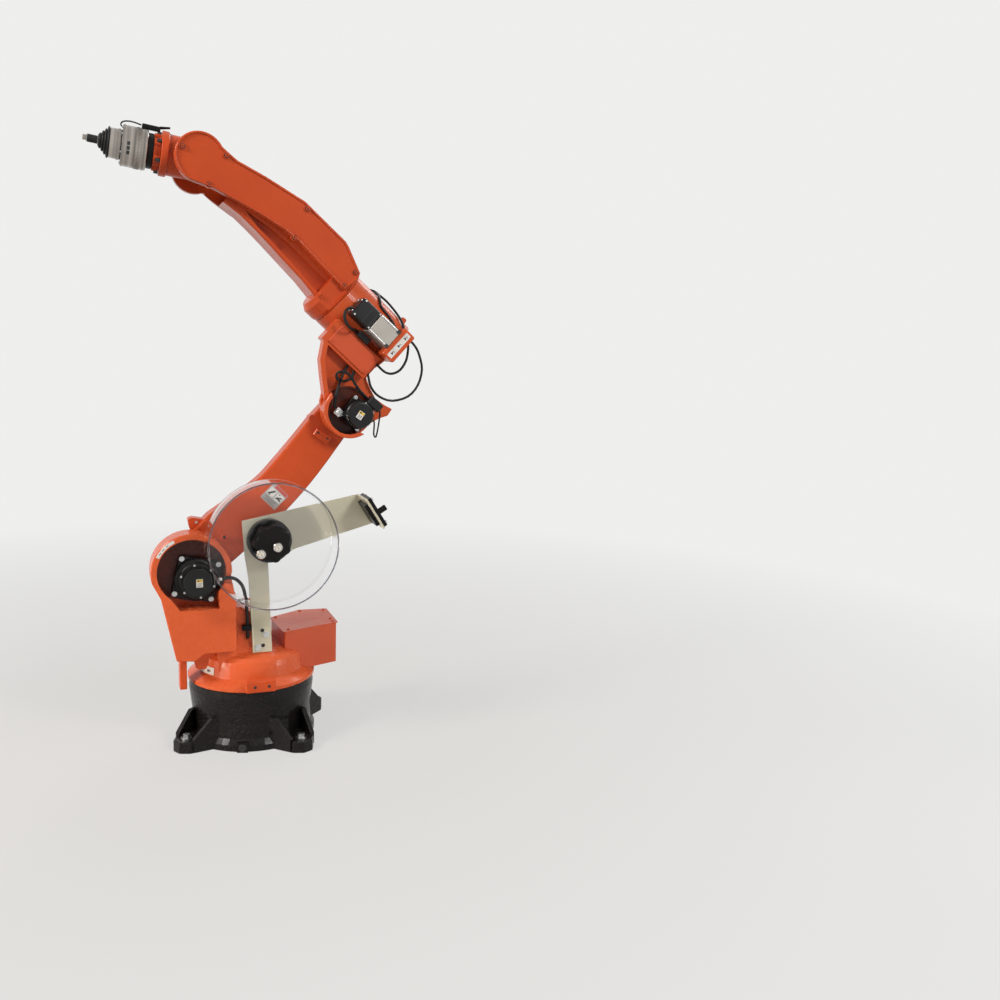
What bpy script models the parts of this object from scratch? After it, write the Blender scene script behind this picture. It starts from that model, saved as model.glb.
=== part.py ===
# Six-axis welding robot arm, modelled link by link, metres, +Z up.
# Row frame: base centre on the floor, +X forward, +Y towards the side the photo shows.
# Each link is built in its own joint frame and posed through a chain of empties.
# Outlines of the links run in XZ, and Y is the depth towards the motor side.

import math

import bmesh
import bpy
from mathutils import Matrix, Vector

GAP = 0.0003
SEAM = 0.0006

# joint frames
TURN_REST = 16.5
J2_X = 0.165
J2_Z = 0.477
ARM_TILT = -45.0
ARM_LENGTH = 0.574
ELBOW_REST = 3.0
OFFSET = 0.209
FOREARM_REACH = 0.683
SEAM_TO_WRIST = 0.476
WRIST_REST = 35.0
FLANGE_REACH = 0.088

# base
BASE_HALF = 0.177
BASE_TOP = 0.158
DRUM_R = 0.163
FOOT_T = 0.030
FOOT_INSET = 0.012
RIB_T = 0.012

# turning column
SKIRT_Z = BASE_TOP + SEAM
SKIRT_R = DRUM_R + 0.005
SHOULDER_R = 0.137
SHOULDER_Z = 0.2375
HOUSING_Y = 0.0585
FACE_Y = HOUSING_Y + 0.0665
WALL_T = 0.012
ROOT_Z = SHOULDER_Z - 0.0375
HOUSING_LOW = SHOULDER_Z + 0.0235
J2_RING = 0.099
J2_POCKET = 0.0845
WEB_Y = 0.100
WEB_FAR = 0.030
WEB_BACK = -0.034
FOOT_FAR = -0.040
STOP_W = 0.075
STOP_T = 0.016
LUG_CLEAR = 0.008
LUG_T = 0.018
LUG_DROP = 0.092

# rear cable box
BOX_PLAN = [(-0.074, 0.083), (-0.228, 0.027), (-0.228, -0.112), (-0.152, -0.117), (-0.063, -0.060)]
BOX_LOW = 0.178
BOX_HIGH = 0.2895
LID_T = 0.0027
LID_EDGE = 0.0035

# spool bracket, hub and cover
STRAP_T = 0.004
STRAP_Y = WEB_Y + GAP
PLATE_Y = STRAP_Y + STRAP_T
STRAP_FOOT_Z = 0.2475
ARM_TIP_TOP = (-0.263, 0.662)
ARM_TIP_LOW = (-0.312, 0.584)
LIP_DEPTH = 0.014
FEED_DEPTH = 0.100
FOLD_IN = 0.001
PAD_T = 0.010
STUB_R = 0.008
STUB_LENGTH = 0.026
HUB_X = -0.029
HUB_Z = 0.550
HUB_R = 0.0565
HUB_T = 0.026
COVER_R = 0.163
COVER_T = 0.003
COVER_Y0 = PLATE_Y + GAP + HUB_T + GAP
COVER_DEPTH = 0.075
KNOB_R = 0.046
KNOB_T = 0.036
KNOB_LOBES = 7
NUT_R = 0.0125
NUT_T = 0.010

# arm
ARM_NEAR = HOUSING_Y - SEAM
ARM_T = 0.0529
ARM_FAR = ARM_NEAR - ARM_T
J2_DISC = 0.084
J3_DISC = 0.062

# elbow
SHEET_T = 0.014
J3_FACE = HOUSING_Y + 0.0565
J3_RING = 0.070
J3_POCKET = 0.060
TUBE_R = 0.081
TUBE_BACK = 0.012
TUBE_END = FOREARM_REACH - SEAM_TO_WRIST - SEAM
CASE_X = (0.030, 0.181)
CASE_LOW = OFFSET - 0.119
CASE_HIGH = OFFSET - 0.051
CASE_Y = 0.098
CASE_COVER_T = 0.005
ROLL_MOTOR_Y = TUBE_R + 0.004
ROLL_MOTOR_SIDE = 0.058
ROLL_MOTOR_LOW = OFFSET - 0.027
BRACKET_X = (0.009, 0.047)
BRACKET_LOW = OFFSET - 0.043
BRACKET_HIGH = OFFSET + 0.047
BRACKET_Y = (0.060, 0.140)

# forearm and wrist
HEAD_R = 0.060
SHELL_Y = 0.068
COVER_PLATE_T = 0.012
RIM_W = 0.0055
RIM_H = 0.0025
LOBE_R = 0.0085
FORK_IN = 0.055
FORK_FLOOR = -0.108
CORE_FAR = -0.062
CORE_NEAR = 0.050
CHEEK_FAR = -0.078
WRIST_R = 0.0495
FLANGE_R = 0.054

# welding tool, as distances along its axis from the flange
FLANGE_T = 0.016
INSULATOR_T = 0.014
SENSOR_T = 0.059
HEAD_T = 0.028
BOOT_T = 0.025
NECK_T = 0.024
NOZZLE_T = 0.010
INSULATOR_R = 0.042
SENSOR_R = 0.0485
SENSOR_HEAD_R = 0.036

# cables
MOTOR_CABLE_R = 0.0038
SIGNAL_CABLE_R = 0.0022
SHOULDER_CABLE_R = 0.0045
SENSOR_CABLE_R = 0.0018


def clear_scene():
    for obj in list(bpy.data.objects):
        bpy.data.objects.remove(obj, do_unlink=True)


def paint(name, colour, roughness, metallic=0.0, alpha=1.0):
    material = bpy.data.materials.new(name)
    material.use_nodes = True
    shader = material.node_tree.nodes["Principled BSDF"]
    shader.inputs["Base Color"].default_value = (*colour, 1.0)
    shader.inputs["Roughness"].default_value = roughness
    shader.inputs["Metallic"].default_value = metallic
    shader.inputs["Alpha"].default_value = alpha
    material.diffuse_color = (*colour, alpha)
    return material


def new_object(mesh, name="piece"):
    obj = bpy.data.objects.new(name, mesh)
    PARTS.objects.link(obj)
    return obj


def from_bmesh(bm):
    mesh = bpy.data.meshes.new("piece")
    bm.normal_update()
    bm.to_mesh(mesh)
    bm.free()
    return new_object(mesh)


def settle(obj):
    """Replace the object's mesh by its evaluated one and drop the modifiers."""
    bpy.context.view_layer.update()
    graph = bpy.context.evaluated_depsgraph_get()
    mesh = bpy.data.meshes.new_from_object(obj.evaluated_get(graph))
    obj.modifiers.clear()
    obj.data = mesh
    return obj


def tidy(obj, reach=0.000004):
    """Weld what a Boolean leaves closer than a hair."""
    bm = bmesh.new()
    bm.from_mesh(obj.data)
    bmesh.ops.remove_doubles(bm, verts=bm.verts, dist=reach)
    bmesh.ops.dissolve_degenerate(bm, edges=bm.edges, dist=reach)
    bm.to_mesh(obj.data)
    bm.free()


def combine(target, others, operation):
    for other in others:
        modifier = target.modifiers.new(operation.lower(), "BOOLEAN")
        modifier.operation = operation
        modifier.solver = "EXACT"
        modifier.object = other
        settle(target)
        tidy(target)
        bpy.data.objects.remove(other, do_unlink=True)
    return target


def join(target, *others):
    return combine(target, others, "UNION")


def cut(target, *others):
    return combine(target, others, "DIFFERENCE")


def soften(obj, width, segments=1, angle=35.0):
    modifier = obj.modifiers.new("edge", "BEVEL")
    modifier.width = width
    modifier.segments = segments
    modifier.limit_method = "ANGLE"
    modifier.angle_limit = math.radians(angle)
    modifier.use_clamp_overlap = True
    return settle(obj)


def moved(obj, matrix):
    obj.data.transform(matrix)
    return obj


def box(low, high):
    bm = bmesh.new()
    bmesh.ops.create_cube(bm, size=1.0)
    size = [h - l for l, h in zip(low, high)]
    middle = [(h + l) / 2 for l, h in zip(low, high)]
    bmesh.ops.scale(bm, vec=size, verts=bm.verts)
    bmesh.ops.translate(bm, vec=middle, verts=bm.verts)
    return from_bmesh(bm)


def rod(start, end, radius, segments=32, end_radius=None):
    """Cylinder or cone between two points."""
    start = Vector(start)
    end = Vector(end)
    bm = bmesh.new()
    bmesh.ops.create_cone(
        bm, cap_ends=True, segments=segments, radius1=radius,
        radius2=radius if end_radius is None else end_radius, depth=(end - start).length,
    )
    obj = from_bmesh(bm)
    turn = (end - start).to_track_quat("Z", "Y").to_matrix().to_4x4()
    return moved(obj, Matrix.Translation((start + end) / 2) @ turn)


def turned(profile, start, direction, segments=40):
    """Body of revolution; profile is (radius, height) from the bottom axis point to the top one."""
    bm = bmesh.new()
    verts = [bm.verts.new((r, 0, h)) for r, h in profile]
    edges = [bm.edges.new(pair) for pair in zip(verts, verts[1:])]
    bmesh.ops.spin(
        bm, geom=verts + edges, cent=(0, 0, 0), axis=(0, 0, 1),
        angle=2 * math.pi, steps=segments, use_merge=True,
    )
    bmesh.ops.remove_doubles(bm, verts=bm.verts, dist=0.00002)
    bmesh.ops.recalc_face_normals(bm, faces=bm.faces)
    obj = from_bmesh(bm)
    turn = Vector(direction).to_track_quat("Z", "Y").to_matrix().to_4x4()
    return moved(obj, Matrix.Translation(Vector(start)) @ turn)


def arc(cx, cz, radius, start, end, steps):
    """Points on an arc between two angles in degrees."""
    return [
        (
            cx + radius * math.cos(math.radians(start + (end - start) * i / steps)),
            cz + radius * math.sin(math.radians(start + (end - start) * i / steps)),
        )
        for i in range(steps + 1)
    ]


def rounded(points, radius, steps=4):
    """Outline with each corner replaced by a short arc."""
    result = []
    count = len(points)
    for i, here in enumerate(points):
        a = Vector(points[i - 1]) - Vector(here)
        b = Vector(points[(i + 1) % count]) - Vector(here)
        angle = a.angle(b)
        reach = radius / math.tan(angle / 2)
        reach = min(reach, a.length * 0.45, b.length * 0.45)
        p = Vector(here) + a.normalized() * reach
        q = Vector(here) + b.normalized() * reach
        if math.degrees(angle) > 168:
            result.append(tuple(here))
            continue
        for k in range(steps + 1):
            t = k / steps
            point = p * (1 - t) ** 2 + Vector(here) * 2 * t * (1 - t) + q * t * t
            result.append(tuple(point))
    return result


def smooth_line(points, steps=6):
    """Catmull-Rom points through the given ones, for bowed outlines."""
    result = []
    ends = [points[0]] + list(points) + [points[-1]]
    for i in range(1, len(ends) - 2):
        p0, p1, p2, p3 = (Vector(p) for p in ends[i - 1:i + 3])
        for k in range(steps):
            t = k / steps
            result.append(tuple(0.5 * (
                2 * p1 + (p2 - p0) * t + (2 * p0 - 5 * p1 + 4 * p2 - p3) * t * t
                + (3 * p1 - p0 - 3 * p2 + p3) * t ** 3
            )))
    result.append(tuple(points[-1]))
    return result


def inset(outline, amount):
    """Outline moved inwards by the amount, corner by corner."""
    points = [Vector(p) for p in outline]
    area = sum(a.x * b.y - b.x * a.y for a, b in zip(points, points[1:] + points[:1]))
    side = 1 if area > 0 else -1
    result = []
    for i, here in enumerate(points):
        before = (here - points[i - 1]).normalized()
        after = (points[(i + 1) % len(points)] - here).normalized()
        normal = Vector((-(before.y + after.y), before.x + after.x)).normalized() * side
        spread = max(0.5, normal.dot(Vector((-after.y, after.x)) * side))
        result.append(tuple(here + normal * amount / spread))
    return result


def flat(outline, depth):
    """Plate in XY, thickness along Z from zero up to depth."""
    curve = bpy.data.curves.new("outline", "CURVE")
    curve.dimensions = "2D"
    curve.fill_mode = "BOTH"
    curve.extrude = depth / 2
    spline = curve.splines.new("POLY")
    spline.points.add(len(outline) - 1)
    for point, (x, y) in zip(spline.points, outline):
        point.co = (x, y, 0, 1)
    spline.use_cyclic_u = True
    holder = bpy.data.objects.new("outline", curve)
    PARTS.objects.link(holder)
    mesh = bpy.data.meshes.new_from_object(holder)
    bpy.data.objects.remove(holder, do_unlink=True)
    bm = bmesh.new()
    bm.from_mesh(mesh)
    bmesh.ops.remove_doubles(bm, verts=bm.verts, dist=0.00001)
    bmesh.ops.dissolve_limit(
        bm, angle_limit=0.001, verts=bm.verts, edges=bm.edges, delimit={"NORMAL"}
    )
    bmesh.ops.recalc_face_normals(bm, faces=bm.faces)
    bmesh.ops.translate(bm, vec=(0, 0, depth / 2), verts=bm.verts)
    return from_bmesh(bm)


def slab(outline, y_low, y_high, rim=0.0, segments=1):
    """Plate with an XZ outline between two Y values."""
    obj = flat(outline, y_high - y_low)
    if rim:
        soften(obj, rim, segments)
    turn = Matrix(((1, 0, 0, 0), (0, 0, -1, y_high), (0, 1, 0, 0), (0, 0, 0, 1)))
    return moved(obj, turn)


def plate(outline, z_low, z_high, rim=0.0):
    """Plate with an XY outline between two Z values."""
    obj = flat(outline, z_high - z_low)
    if rim:
        soften(obj, rim)
    return moved(obj, Matrix.Translation((0, 0, z_low)))


def tube(points, radius, smooth=3):
    """Round cable along the points, with filled caps."""
    line = smooth_line(points, smooth)
    curve = bpy.data.curves.new("cord", "CURVE")
    curve.dimensions = "3D"
    curve.bevel_depth = radius
    curve.bevel_resolution = 2
    curve.use_fill_caps = True
    spline = curve.splines.new("POLY")
    spline.points.add(len(line) - 1)
    for point, place in zip(spline.points, line):
        point.co = (*place, 1)
    holder = bpy.data.objects.new("cord", curve)
    PARTS.objects.link(holder)
    mesh = bpy.data.meshes.new_from_object(holder)
    bpy.data.objects.remove(holder, do_unlink=True)
    bm = bmesh.new()
    bm.from_mesh(mesh)
    bmesh.ops.remove_doubles(bm, verts=bm.verts, dist=0.00001)
    bmesh.ops.recalc_face_normals(bm, faces=bm.faces)
    return from_bmesh(bm)


def name_part(obj, name, parent, material, smooth=40.0):
    obj.name = name
    obj.data.name = name
    obj.parent = parent
    obj.data.materials.clear()
    obj.data.materials.append(material)
    obj.data.shade_smooth()
    obj.data.set_sharp_from_angle(angle=math.radians(smooth))
    return obj


def joint_frame(name, parent, place, axis, angle):
    empty = bpy.data.objects.new(name, None)
    PARTS.objects.link(empty)
    empty.parent = parent
    empty.location = place
    turn = [0.0, 0.0, 0.0]
    turn["XYZ".index(axis)] = math.radians(angle)
    empty.rotation_euler = turn
    return empty


# base

def base_casting():
    drum = turned(
        [(0, -0.004), (DRUM_R + 0.006, -0.004), (DRUM_R + 0.006, 0.016), (DRUM_R - 0.004, FOOT_T),
         (DRUM_R - 0.006, 0.070), (DRUM_R, 0.120), (DRUM_R + 0.002, BASE_TOP - 0.020),
         (DRUM_R, BASE_TOP), (0, BASE_TOP)], (0, 0, 0), (0, 0, 1), 56)
    reach = BASE_HALF * math.sqrt(2) - FOOT_INSET
    for turn in (45, 135, 225, 315):
        foot = plate(rounded([(0.09, -0.072), (reach - 0.020, -0.034), (reach, -0.014),
                              (reach, 0.014), (reach - 0.020, 0.034), (0.09, 0.072)], 0.008, 2),
                     -0.008, FOOT_T, 0.003)
        for side in (-1, 1):
            rib = slab([(0.10, 0.004), (reach - 0.034, 0.004), (reach - 0.034, FOOT_T + 0.006),
                        (DRUM_R - 0.008, 0.085), (0.10, 0.085)], -RIB_T / 2, RIB_T / 2)
            moved(rib, Matrix.Translation((0, side * 0.027, 0)))
            spread = Matrix.Translation((reach, 0, 0)) @ Matrix.Rotation(
                math.radians(-side * 14), 4, "Z") @ Matrix.Translation((-reach, 0, 0))
            moved(rib, spread)
            join(foot, rib)
        moved(foot, Matrix.Rotation(math.radians(turn), 4, "Z"))
        join(drum, foot)
    pad = box((-0.014, 0.12, -0.006), (0.014, DRUM_R + 0.012, 0.026))
    join(drum, pad)
    cut(drum, box((-0.4, -0.4, -0.1), (0.4, 0.4, 0.0)))
    name_part(drum, "base_casting", None, BLACK_PAINT)


# turning column

def column_outline():
    """Side view of the motor housing, from the shoulder up round the second joint."""
    front = [(J2_X - 0.028, HOUSING_LOW), (J2_X - 0.005, ROOT_Z + 0.043),
             (J2_X + 0.040, ROOT_Z + 0.047), (J2_X + 0.075, J2_Z - 0.066)]
    back = [(J2_X - 0.109, J2_Z - 0.085), (J2_X - 0.109, HOUSING_LOW)]
    return front + arc(J2_X, J2_Z, J2_RING, -14, 190, 26) + back


def shoulder_profile(extra=0.0):
    """Half section of the round shoulder, grown by an allowance for what fits over it."""
    return [
        (0, SKIRT_Z), (SKIRT_R - 0.004, SKIRT_Z), (SKIRT_R, SKIRT_Z + 0.003),
        (SKIRT_R, SKIRT_Z + 0.011), (SKIRT_R - 0.012 + extra, SKIRT_Z + 0.018),
        (SHOULDER_R + 0.003 + extra, SKIRT_Z + 0.026), (SHOULDER_R + extra, SHOULDER_Z - 0.024),
        (SHOULDER_R - 0.003 + extra, SHOULDER_Z - 0.010 + extra),
        (SHOULDER_R - 0.013, SHOULDER_Z + extra), (0.10, SHOULDER_Z + 0.010 + extra),
        (0, SHOULDER_Z + 0.013 + extra),
    ]


def column_casting():
    body = slab(column_outline(), HOUSING_Y, FACE_Y, 0.002)
    web = slab([(J2_X - 0.065, ROOT_Z), (WEB_BACK, ROOT_Z), (WEB_BACK, 0.330),
                (0.040, J2_Z - 0.105), (J2_X - 0.065, J2_Z - 0.105)], WEB_FAR, WEB_Y, 0.002)
    foot = slab([(0.150, ROOT_Z), (0.170, 0.262), (0.150, 0.345), (-0.030, 0.345),
                 (-0.030, ROOT_Z)], FOOT_FAR, HOUSING_Y + 0.004, 0.004)
    shoulder = turned(shoulder_profile(), (0, 0, 0), (0, 0, 1), 56)
    join(body, shoulder, web, foot)
    floor = J2_Z - 0.099
    pocket = slab(arc(J2_X, J2_Z, J2_POCKET, -52, 219, 36) + [(J2_X - 0.067, floor),
                                                              (J2_X + 0.029, floor)],
                  HOUSING_Y + WALL_T, FACE_Y + 0.02)
    notch = box((J2_X - J2_RING - 0.006, FACE_Y - 0.0105, J2_Z - 0.034),
                (J2_X - J2_POCKET + 0.008, FACE_Y + 0.01, J2_Z - 0.006))
    cut(body, pocket, notch)
    name_part(body, "column_casting", J1, ORANGE)


def skirt_stop():
    block = box((-0.034, SKIRT_R + GAP, SKIRT_Z + 0.006),
                (STOP_W - 0.034, SKIRT_R + STOP_T, SKIRT_Z + 0.036))
    soften(block, 0.002)
    name_part(block, "skirt_stop_block", J1, ORANGE)


def hanging_lug():
    top = ROOT_Z + 0.0443 - GAP
    x = SKIRT_R + LUG_CLEAR
    lug = box((x, 0.030, top - LUG_DROP), (x + LUG_T, HOUSING_Y + 0.012, top))
    soften(lug, 0.002)
    name_part(lug, "hanging_stop_lug", J1, ORANGE)


def rear_box():
    shell = plate(rounded(BOX_PLAN, 0.004, 2), BOX_LOW, BOX_HIGH)
    cut(shell, turned(shoulder_profile(GAP), (0, 0, 0), (0, 0, 1), 56))
    name_part(shell, "rear_box", J1, ORANGE)
    lid = plate(rounded(inset(BOX_PLAN, -LID_EDGE), 0.003, 2), BOX_HIGH + GAP, BOX_HIGH + GAP + LID_T)
    name_part(lid, "rear_box_lid", J1, ORANGE)


def turned_square(cx, cz, side, corner, angle):
    """Outline of a square with round corners, turned about its middle."""
    half = side / 2
    turn = math.radians(angle)
    raw = rounded([(-half, -half), (half, -half), (half, half), (-half, half)], corner, 3)
    return [
        (cx + x * math.cos(turn) - z * math.sin(turn), cz + x * math.sin(turn) + z * math.cos(turn))
        for x, z in raw
    ]


def motor(prefix, parent, middle, side, angle, seat, lengths, radii):
    """Servo motor looking out of its pocket: square flange, round body, smooth end cap."""
    x, z = middle
    y_flange = seat + GAP + lengths[0]
    y_body = y_flange + GAP + lengths[1]
    y_cap = y_body + GAP + lengths[2]
    flange = slab(turned_square(x, z, side, side * 0.12, angle), seat + GAP, y_flange, 0.0015)
    name_part(flange, prefix + "_motor_flange", parent, MOTOR_BLACK)
    rear, front, _ = radii
    length = lengths[1] - GAP
    body = turned([(0, 0), (rear, 0), (rear, length * 0.55), (front, length * 0.62),
                   (front, length - 0.003), (front - 0.003, length), (0, length)],
                  (x, y_flange + GAP, z), (0, 1, 0))
    name_part(body, prefix + "_motor_body", parent, MOTOR_BLACK)
    cap = rod((x, y_body + GAP, z), (x, y_cap, z), radii[2], 36)
    soften(cap, 0.003, 2)
    name_part(cap, prefix + "_motor_cap", parent, MOTOR_BLACK)


def shoulder_motor():
    seat = HOUSING_Y + WALL_T
    middle = (J2_X - 0.015, J2_Z - 0.027)
    motor("j2", J1, middle, 0.109, 12, seat, (0.013, 0.026, 0.017), (0.054, 0.0485, 0.037))
    face = seat + 0.0396 + GAP
    plug = box((middle[0] - 0.0485, face, middle[1] - 0.009),
               (middle[0] - 0.0385, face + 0.018, middle[1] + 0.013))
    soften(plug, 0.0015)
    name_part(plug, "j2_motor_plug", J1, MOTOR_BLACK)


def shoulder_cable():
    """Motor cable from its plug over the pocket rim and down the web, held by a clamp."""
    wall = WEB_Y + GAP
    route = [(0.1003, 0.1195, 0.454), (0.090, 0.120, 0.456), (0.080, 0.1205, 0.458),
             (0.070, 0.121, 0.458), (0.058, 0.121, 0.454), (0.047, 0.118, 0.444),
             (0.0375, 0.114, 0.428), (0.031, 0.110, 0.399), (0.027, 0.108, 0.360),
             (0.0255, 0.107, 0.330), (0.0255, 0.107, 0.306), (0.0252, 0.1068, 0.298),
             (0.025, 0.1055, 0.2925), (0.025, wall + 0.0024, 0.2900)]
    cable = tube(route, SHOULDER_CABLE_R)
    name_part(cable, "j2_motor_cable", J1, CABLE)
    clamp = box((0.0172, wall, 0.312), (0.040, wall + 0.0145, 0.325))
    hole = rod((0.0255, 0.107, 0.30), (0.0255, 0.107, 0.34), SHOULDER_CABLE_R + 0.0009, 20)
    cut(clamp, hole)
    name_part(clamp, "cable_clamp", J1, RUBBER)


# spool bracket, hub and clear cover

def bracket_tip():
    """Middle of the bracket arm's end and the two directions along and out of it."""
    top = Vector(ARM_TIP_TOP)
    low = Vector(ARM_TIP_LOW)
    down = (low - top).normalized()
    out = Vector((down.y, -down.x))
    if out.x > 0:
        out = -out
    return (top + low) / 2, down, out, (low - top).length / 2


def end_plate(near, far, y_low, y_high, trim):
    """Plate across the end of the bracket arm, between two distances along the arm."""
    middle, down, out, half = bracket_tip()
    a = middle - down * (half - trim)
    b = middle + down * (half - trim)
    outline = [a + out * near, b + out * near, b + out * far, a + out * far]
    return slab([tuple(v) for v in outline], y_low, y_high)


def spool_bracket():
    outline = [(0.0125, STRAP_FOOT_Z), (-0.038, STRAP_FOOT_Z), (-0.028, 0.488), (-0.104, 0.524),
               ARM_TIP_LOW, ARM_TIP_TOP, (0.038, 0.601), (0.032, 0.510), (0.022, 0.445)]
    sheet = slab(outline, STRAP_Y, PLATE_Y)
    lip = slab([(0.0122, 0.252), (0.0092, 0.252), (0.0187, 0.445), (0.0217, 0.445)],
               STRAP_Y + 0.001, STRAP_Y + 0.001 + LIP_DEPTH)
    end = end_plate(-FOLD_IN, STRAP_T, STRAP_Y + 0.0005, STRAP_Y + FEED_DEPTH, 0.0006)
    join(sheet, end, lip)
    name_part(sheet, "spool_bracket", J1, GREY_GREEN)


def feeder_insulators():
    """Insulating plates on both sides of the bracket's end, and the stub that they carry."""
    outer = end_plate(STRAP_T + GAP, STRAP_T + PAD_T, STRAP_Y + 0.012, STRAP_Y + FEED_DEPTH - 0.004,
                      0.003)
    name_part(outer, "feeder_insulator_plate", J1, RUBBER)
    inner = end_plate(-FOLD_IN - PAD_T, -FOLD_IN - GAP, PLATE_Y + 0.012, STRAP_Y + FEED_DEPTH - 0.010, 0.014)
    name_part(inner, "feeder_insulator_inner", J1, RUBBER)
    middle, down, out, half = bracket_tip()
    start = middle + down * 0.012 + out * (STRAP_T + PAD_T + GAP)
    end = start + out * STUB_LENGTH
    y = STRAP_Y + FEED_DEPTH * 0.55
    stub = rod((start.x, y, start.y), (end.x, y, end.y), STUB_R, 20)
    name_part(stub, "feeder_stub", J1, RUBBER)


def spool_hub():
    y0 = PLATE_Y + GAP
    disc = rod((HUB_X, y0, HUB_Z), (HUB_X, y0 + HUB_T, HUB_Z), HUB_R, 40)
    soften(disc, 0.002)
    name_part(disc, "spool_hub_disc", J1, RUBBER)
    y1 = COVER_Y0 + COVER_T + GAP
    steps = KNOB_LOBES * 8
    lobes = []
    for i in range(steps):
        angle = 2 * math.pi * i / steps
        r = KNOB_R + 0.0035 * math.cos(KNOB_LOBES * angle)
        lobes.append((HUB_X + r * math.cos(angle), HUB_Z + r * math.sin(angle)))
    knob = slab(lobes, y1, y1 + KNOB_T, 0.002)
    name_part(knob, "spool_hub_knob", J1, RUBBER)
    y2 = y1 + KNOB_T + GAP
    for letter, dx, dz in (("a", 0.030, -0.023), ("b", -0.012, -0.007)):
        nut = rod((HUB_X + dx, y2, HUB_Z + dz), (HUB_X + dx, y2 + NUT_T, HUB_Z + dz), NUT_R, 24)
        soften(nut, 0.0015)
        name_part(nut, "spool_clamp_nut_" + letter, J1, STEEL)


def spool_cover():
    """Clear open drum clamped behind the hub knob."""
    r = COVER_R
    t = COVER_T
    d = COVER_DEPTH
    profile = [(0, 0), (r - 0.006, 0), (r, 0.006), (r, d), (r - t, d),
               (r - t, 0.006 + t), (r - t - 0.004, t), (0, t)]
    shell = turned(profile, (HUB_X, COVER_Y0, HUB_Z), (0, 1, 0), 64)
    name_part(shell, "spool_cover", J1, CLEAR)


# lower arm

def lower_arm():
    """Forged arm between the joints: two discs and a waisted web, its edges at shares of the length."""
    length = ARM_LENGTH
    front = [(0.0601, 0.2265), (0.0466, 0.3537), (0.0348, 0.4895), (0.0369, 0.5923),
             (0.0450, 0.7596), (0.0550, 0.9059)]
    back = [(-0.0637, 0.7753), (-0.0734, 0.6394), (-0.0785, 0.4634), (-0.0773, 0.2892),
            (-0.0711, 0.1254)]
    outline = arc(0, 0, J2_DISC, 138, 406, 30)
    outline += smooth_line([(x, share * length) for x, share in front], 3)[:-1]
    outline += arc(0, length, J3_DISC, -30, 218, 24)
    outline += smooth_line([(x, share * length) for x, share in back], 3)
    arm = slab(outline, ARM_FAR, ARM_NEAR, 0.005, 2)
    lug = slab(rounded([(0.040, 0.070), (0.068, 0.072), (0.088, 0.086), (0.082, 0.097),
                        (0.053, 0.117), (0.035, 0.100)], 0.004, 2), ARM_FAR + 0.011, ARM_NEAR - 0.012)
    stop = slab([(0.019, length - 0.0865), (-0.025, length - 0.077), (-0.027, length - 0.101),
                 (0.018, length - 0.108), (0.0215, length - 0.090)], ARM_NEAR - 0.006, ARM_NEAR + 0.012, 0.0015)
    top_boss = rod((0.0475, ARM_FAR + 0.020, length - 0.078), (0.0475, ARM_NEAR - 0.0004, length - 0.078),
                   0.009, 20)
    low_boss = rod((-0.009, ARM_NEAR - 0.006, 0.115), (-0.009, ARM_NEAR + 0.007, 0.115), 0.010, 24)
    pin = rod((-0.035, ARM_NEAR - 0.006, 0.134), (-0.035, ARM_NEAR + 0.004, 0.134), 0.003, 12)
    join(arm, lug, stop, top_boss, low_boss, pin)
    hole = rod((-0.009, ARM_NEAR - 0.004, 0.115), (-0.009, ARM_NEAR + 0.02, 0.115), 0.0045, 16)
    lug_hole = rod((0.067, ARM_NEAR - 0.020, 0.095), (0.067, ARM_NEAR, 0.095), 0.0035, 12)
    cut(arm, hole, lug_hole)
    name_part(arm, "lower_arm_casting", J2, ORANGE)


# elbow

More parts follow.
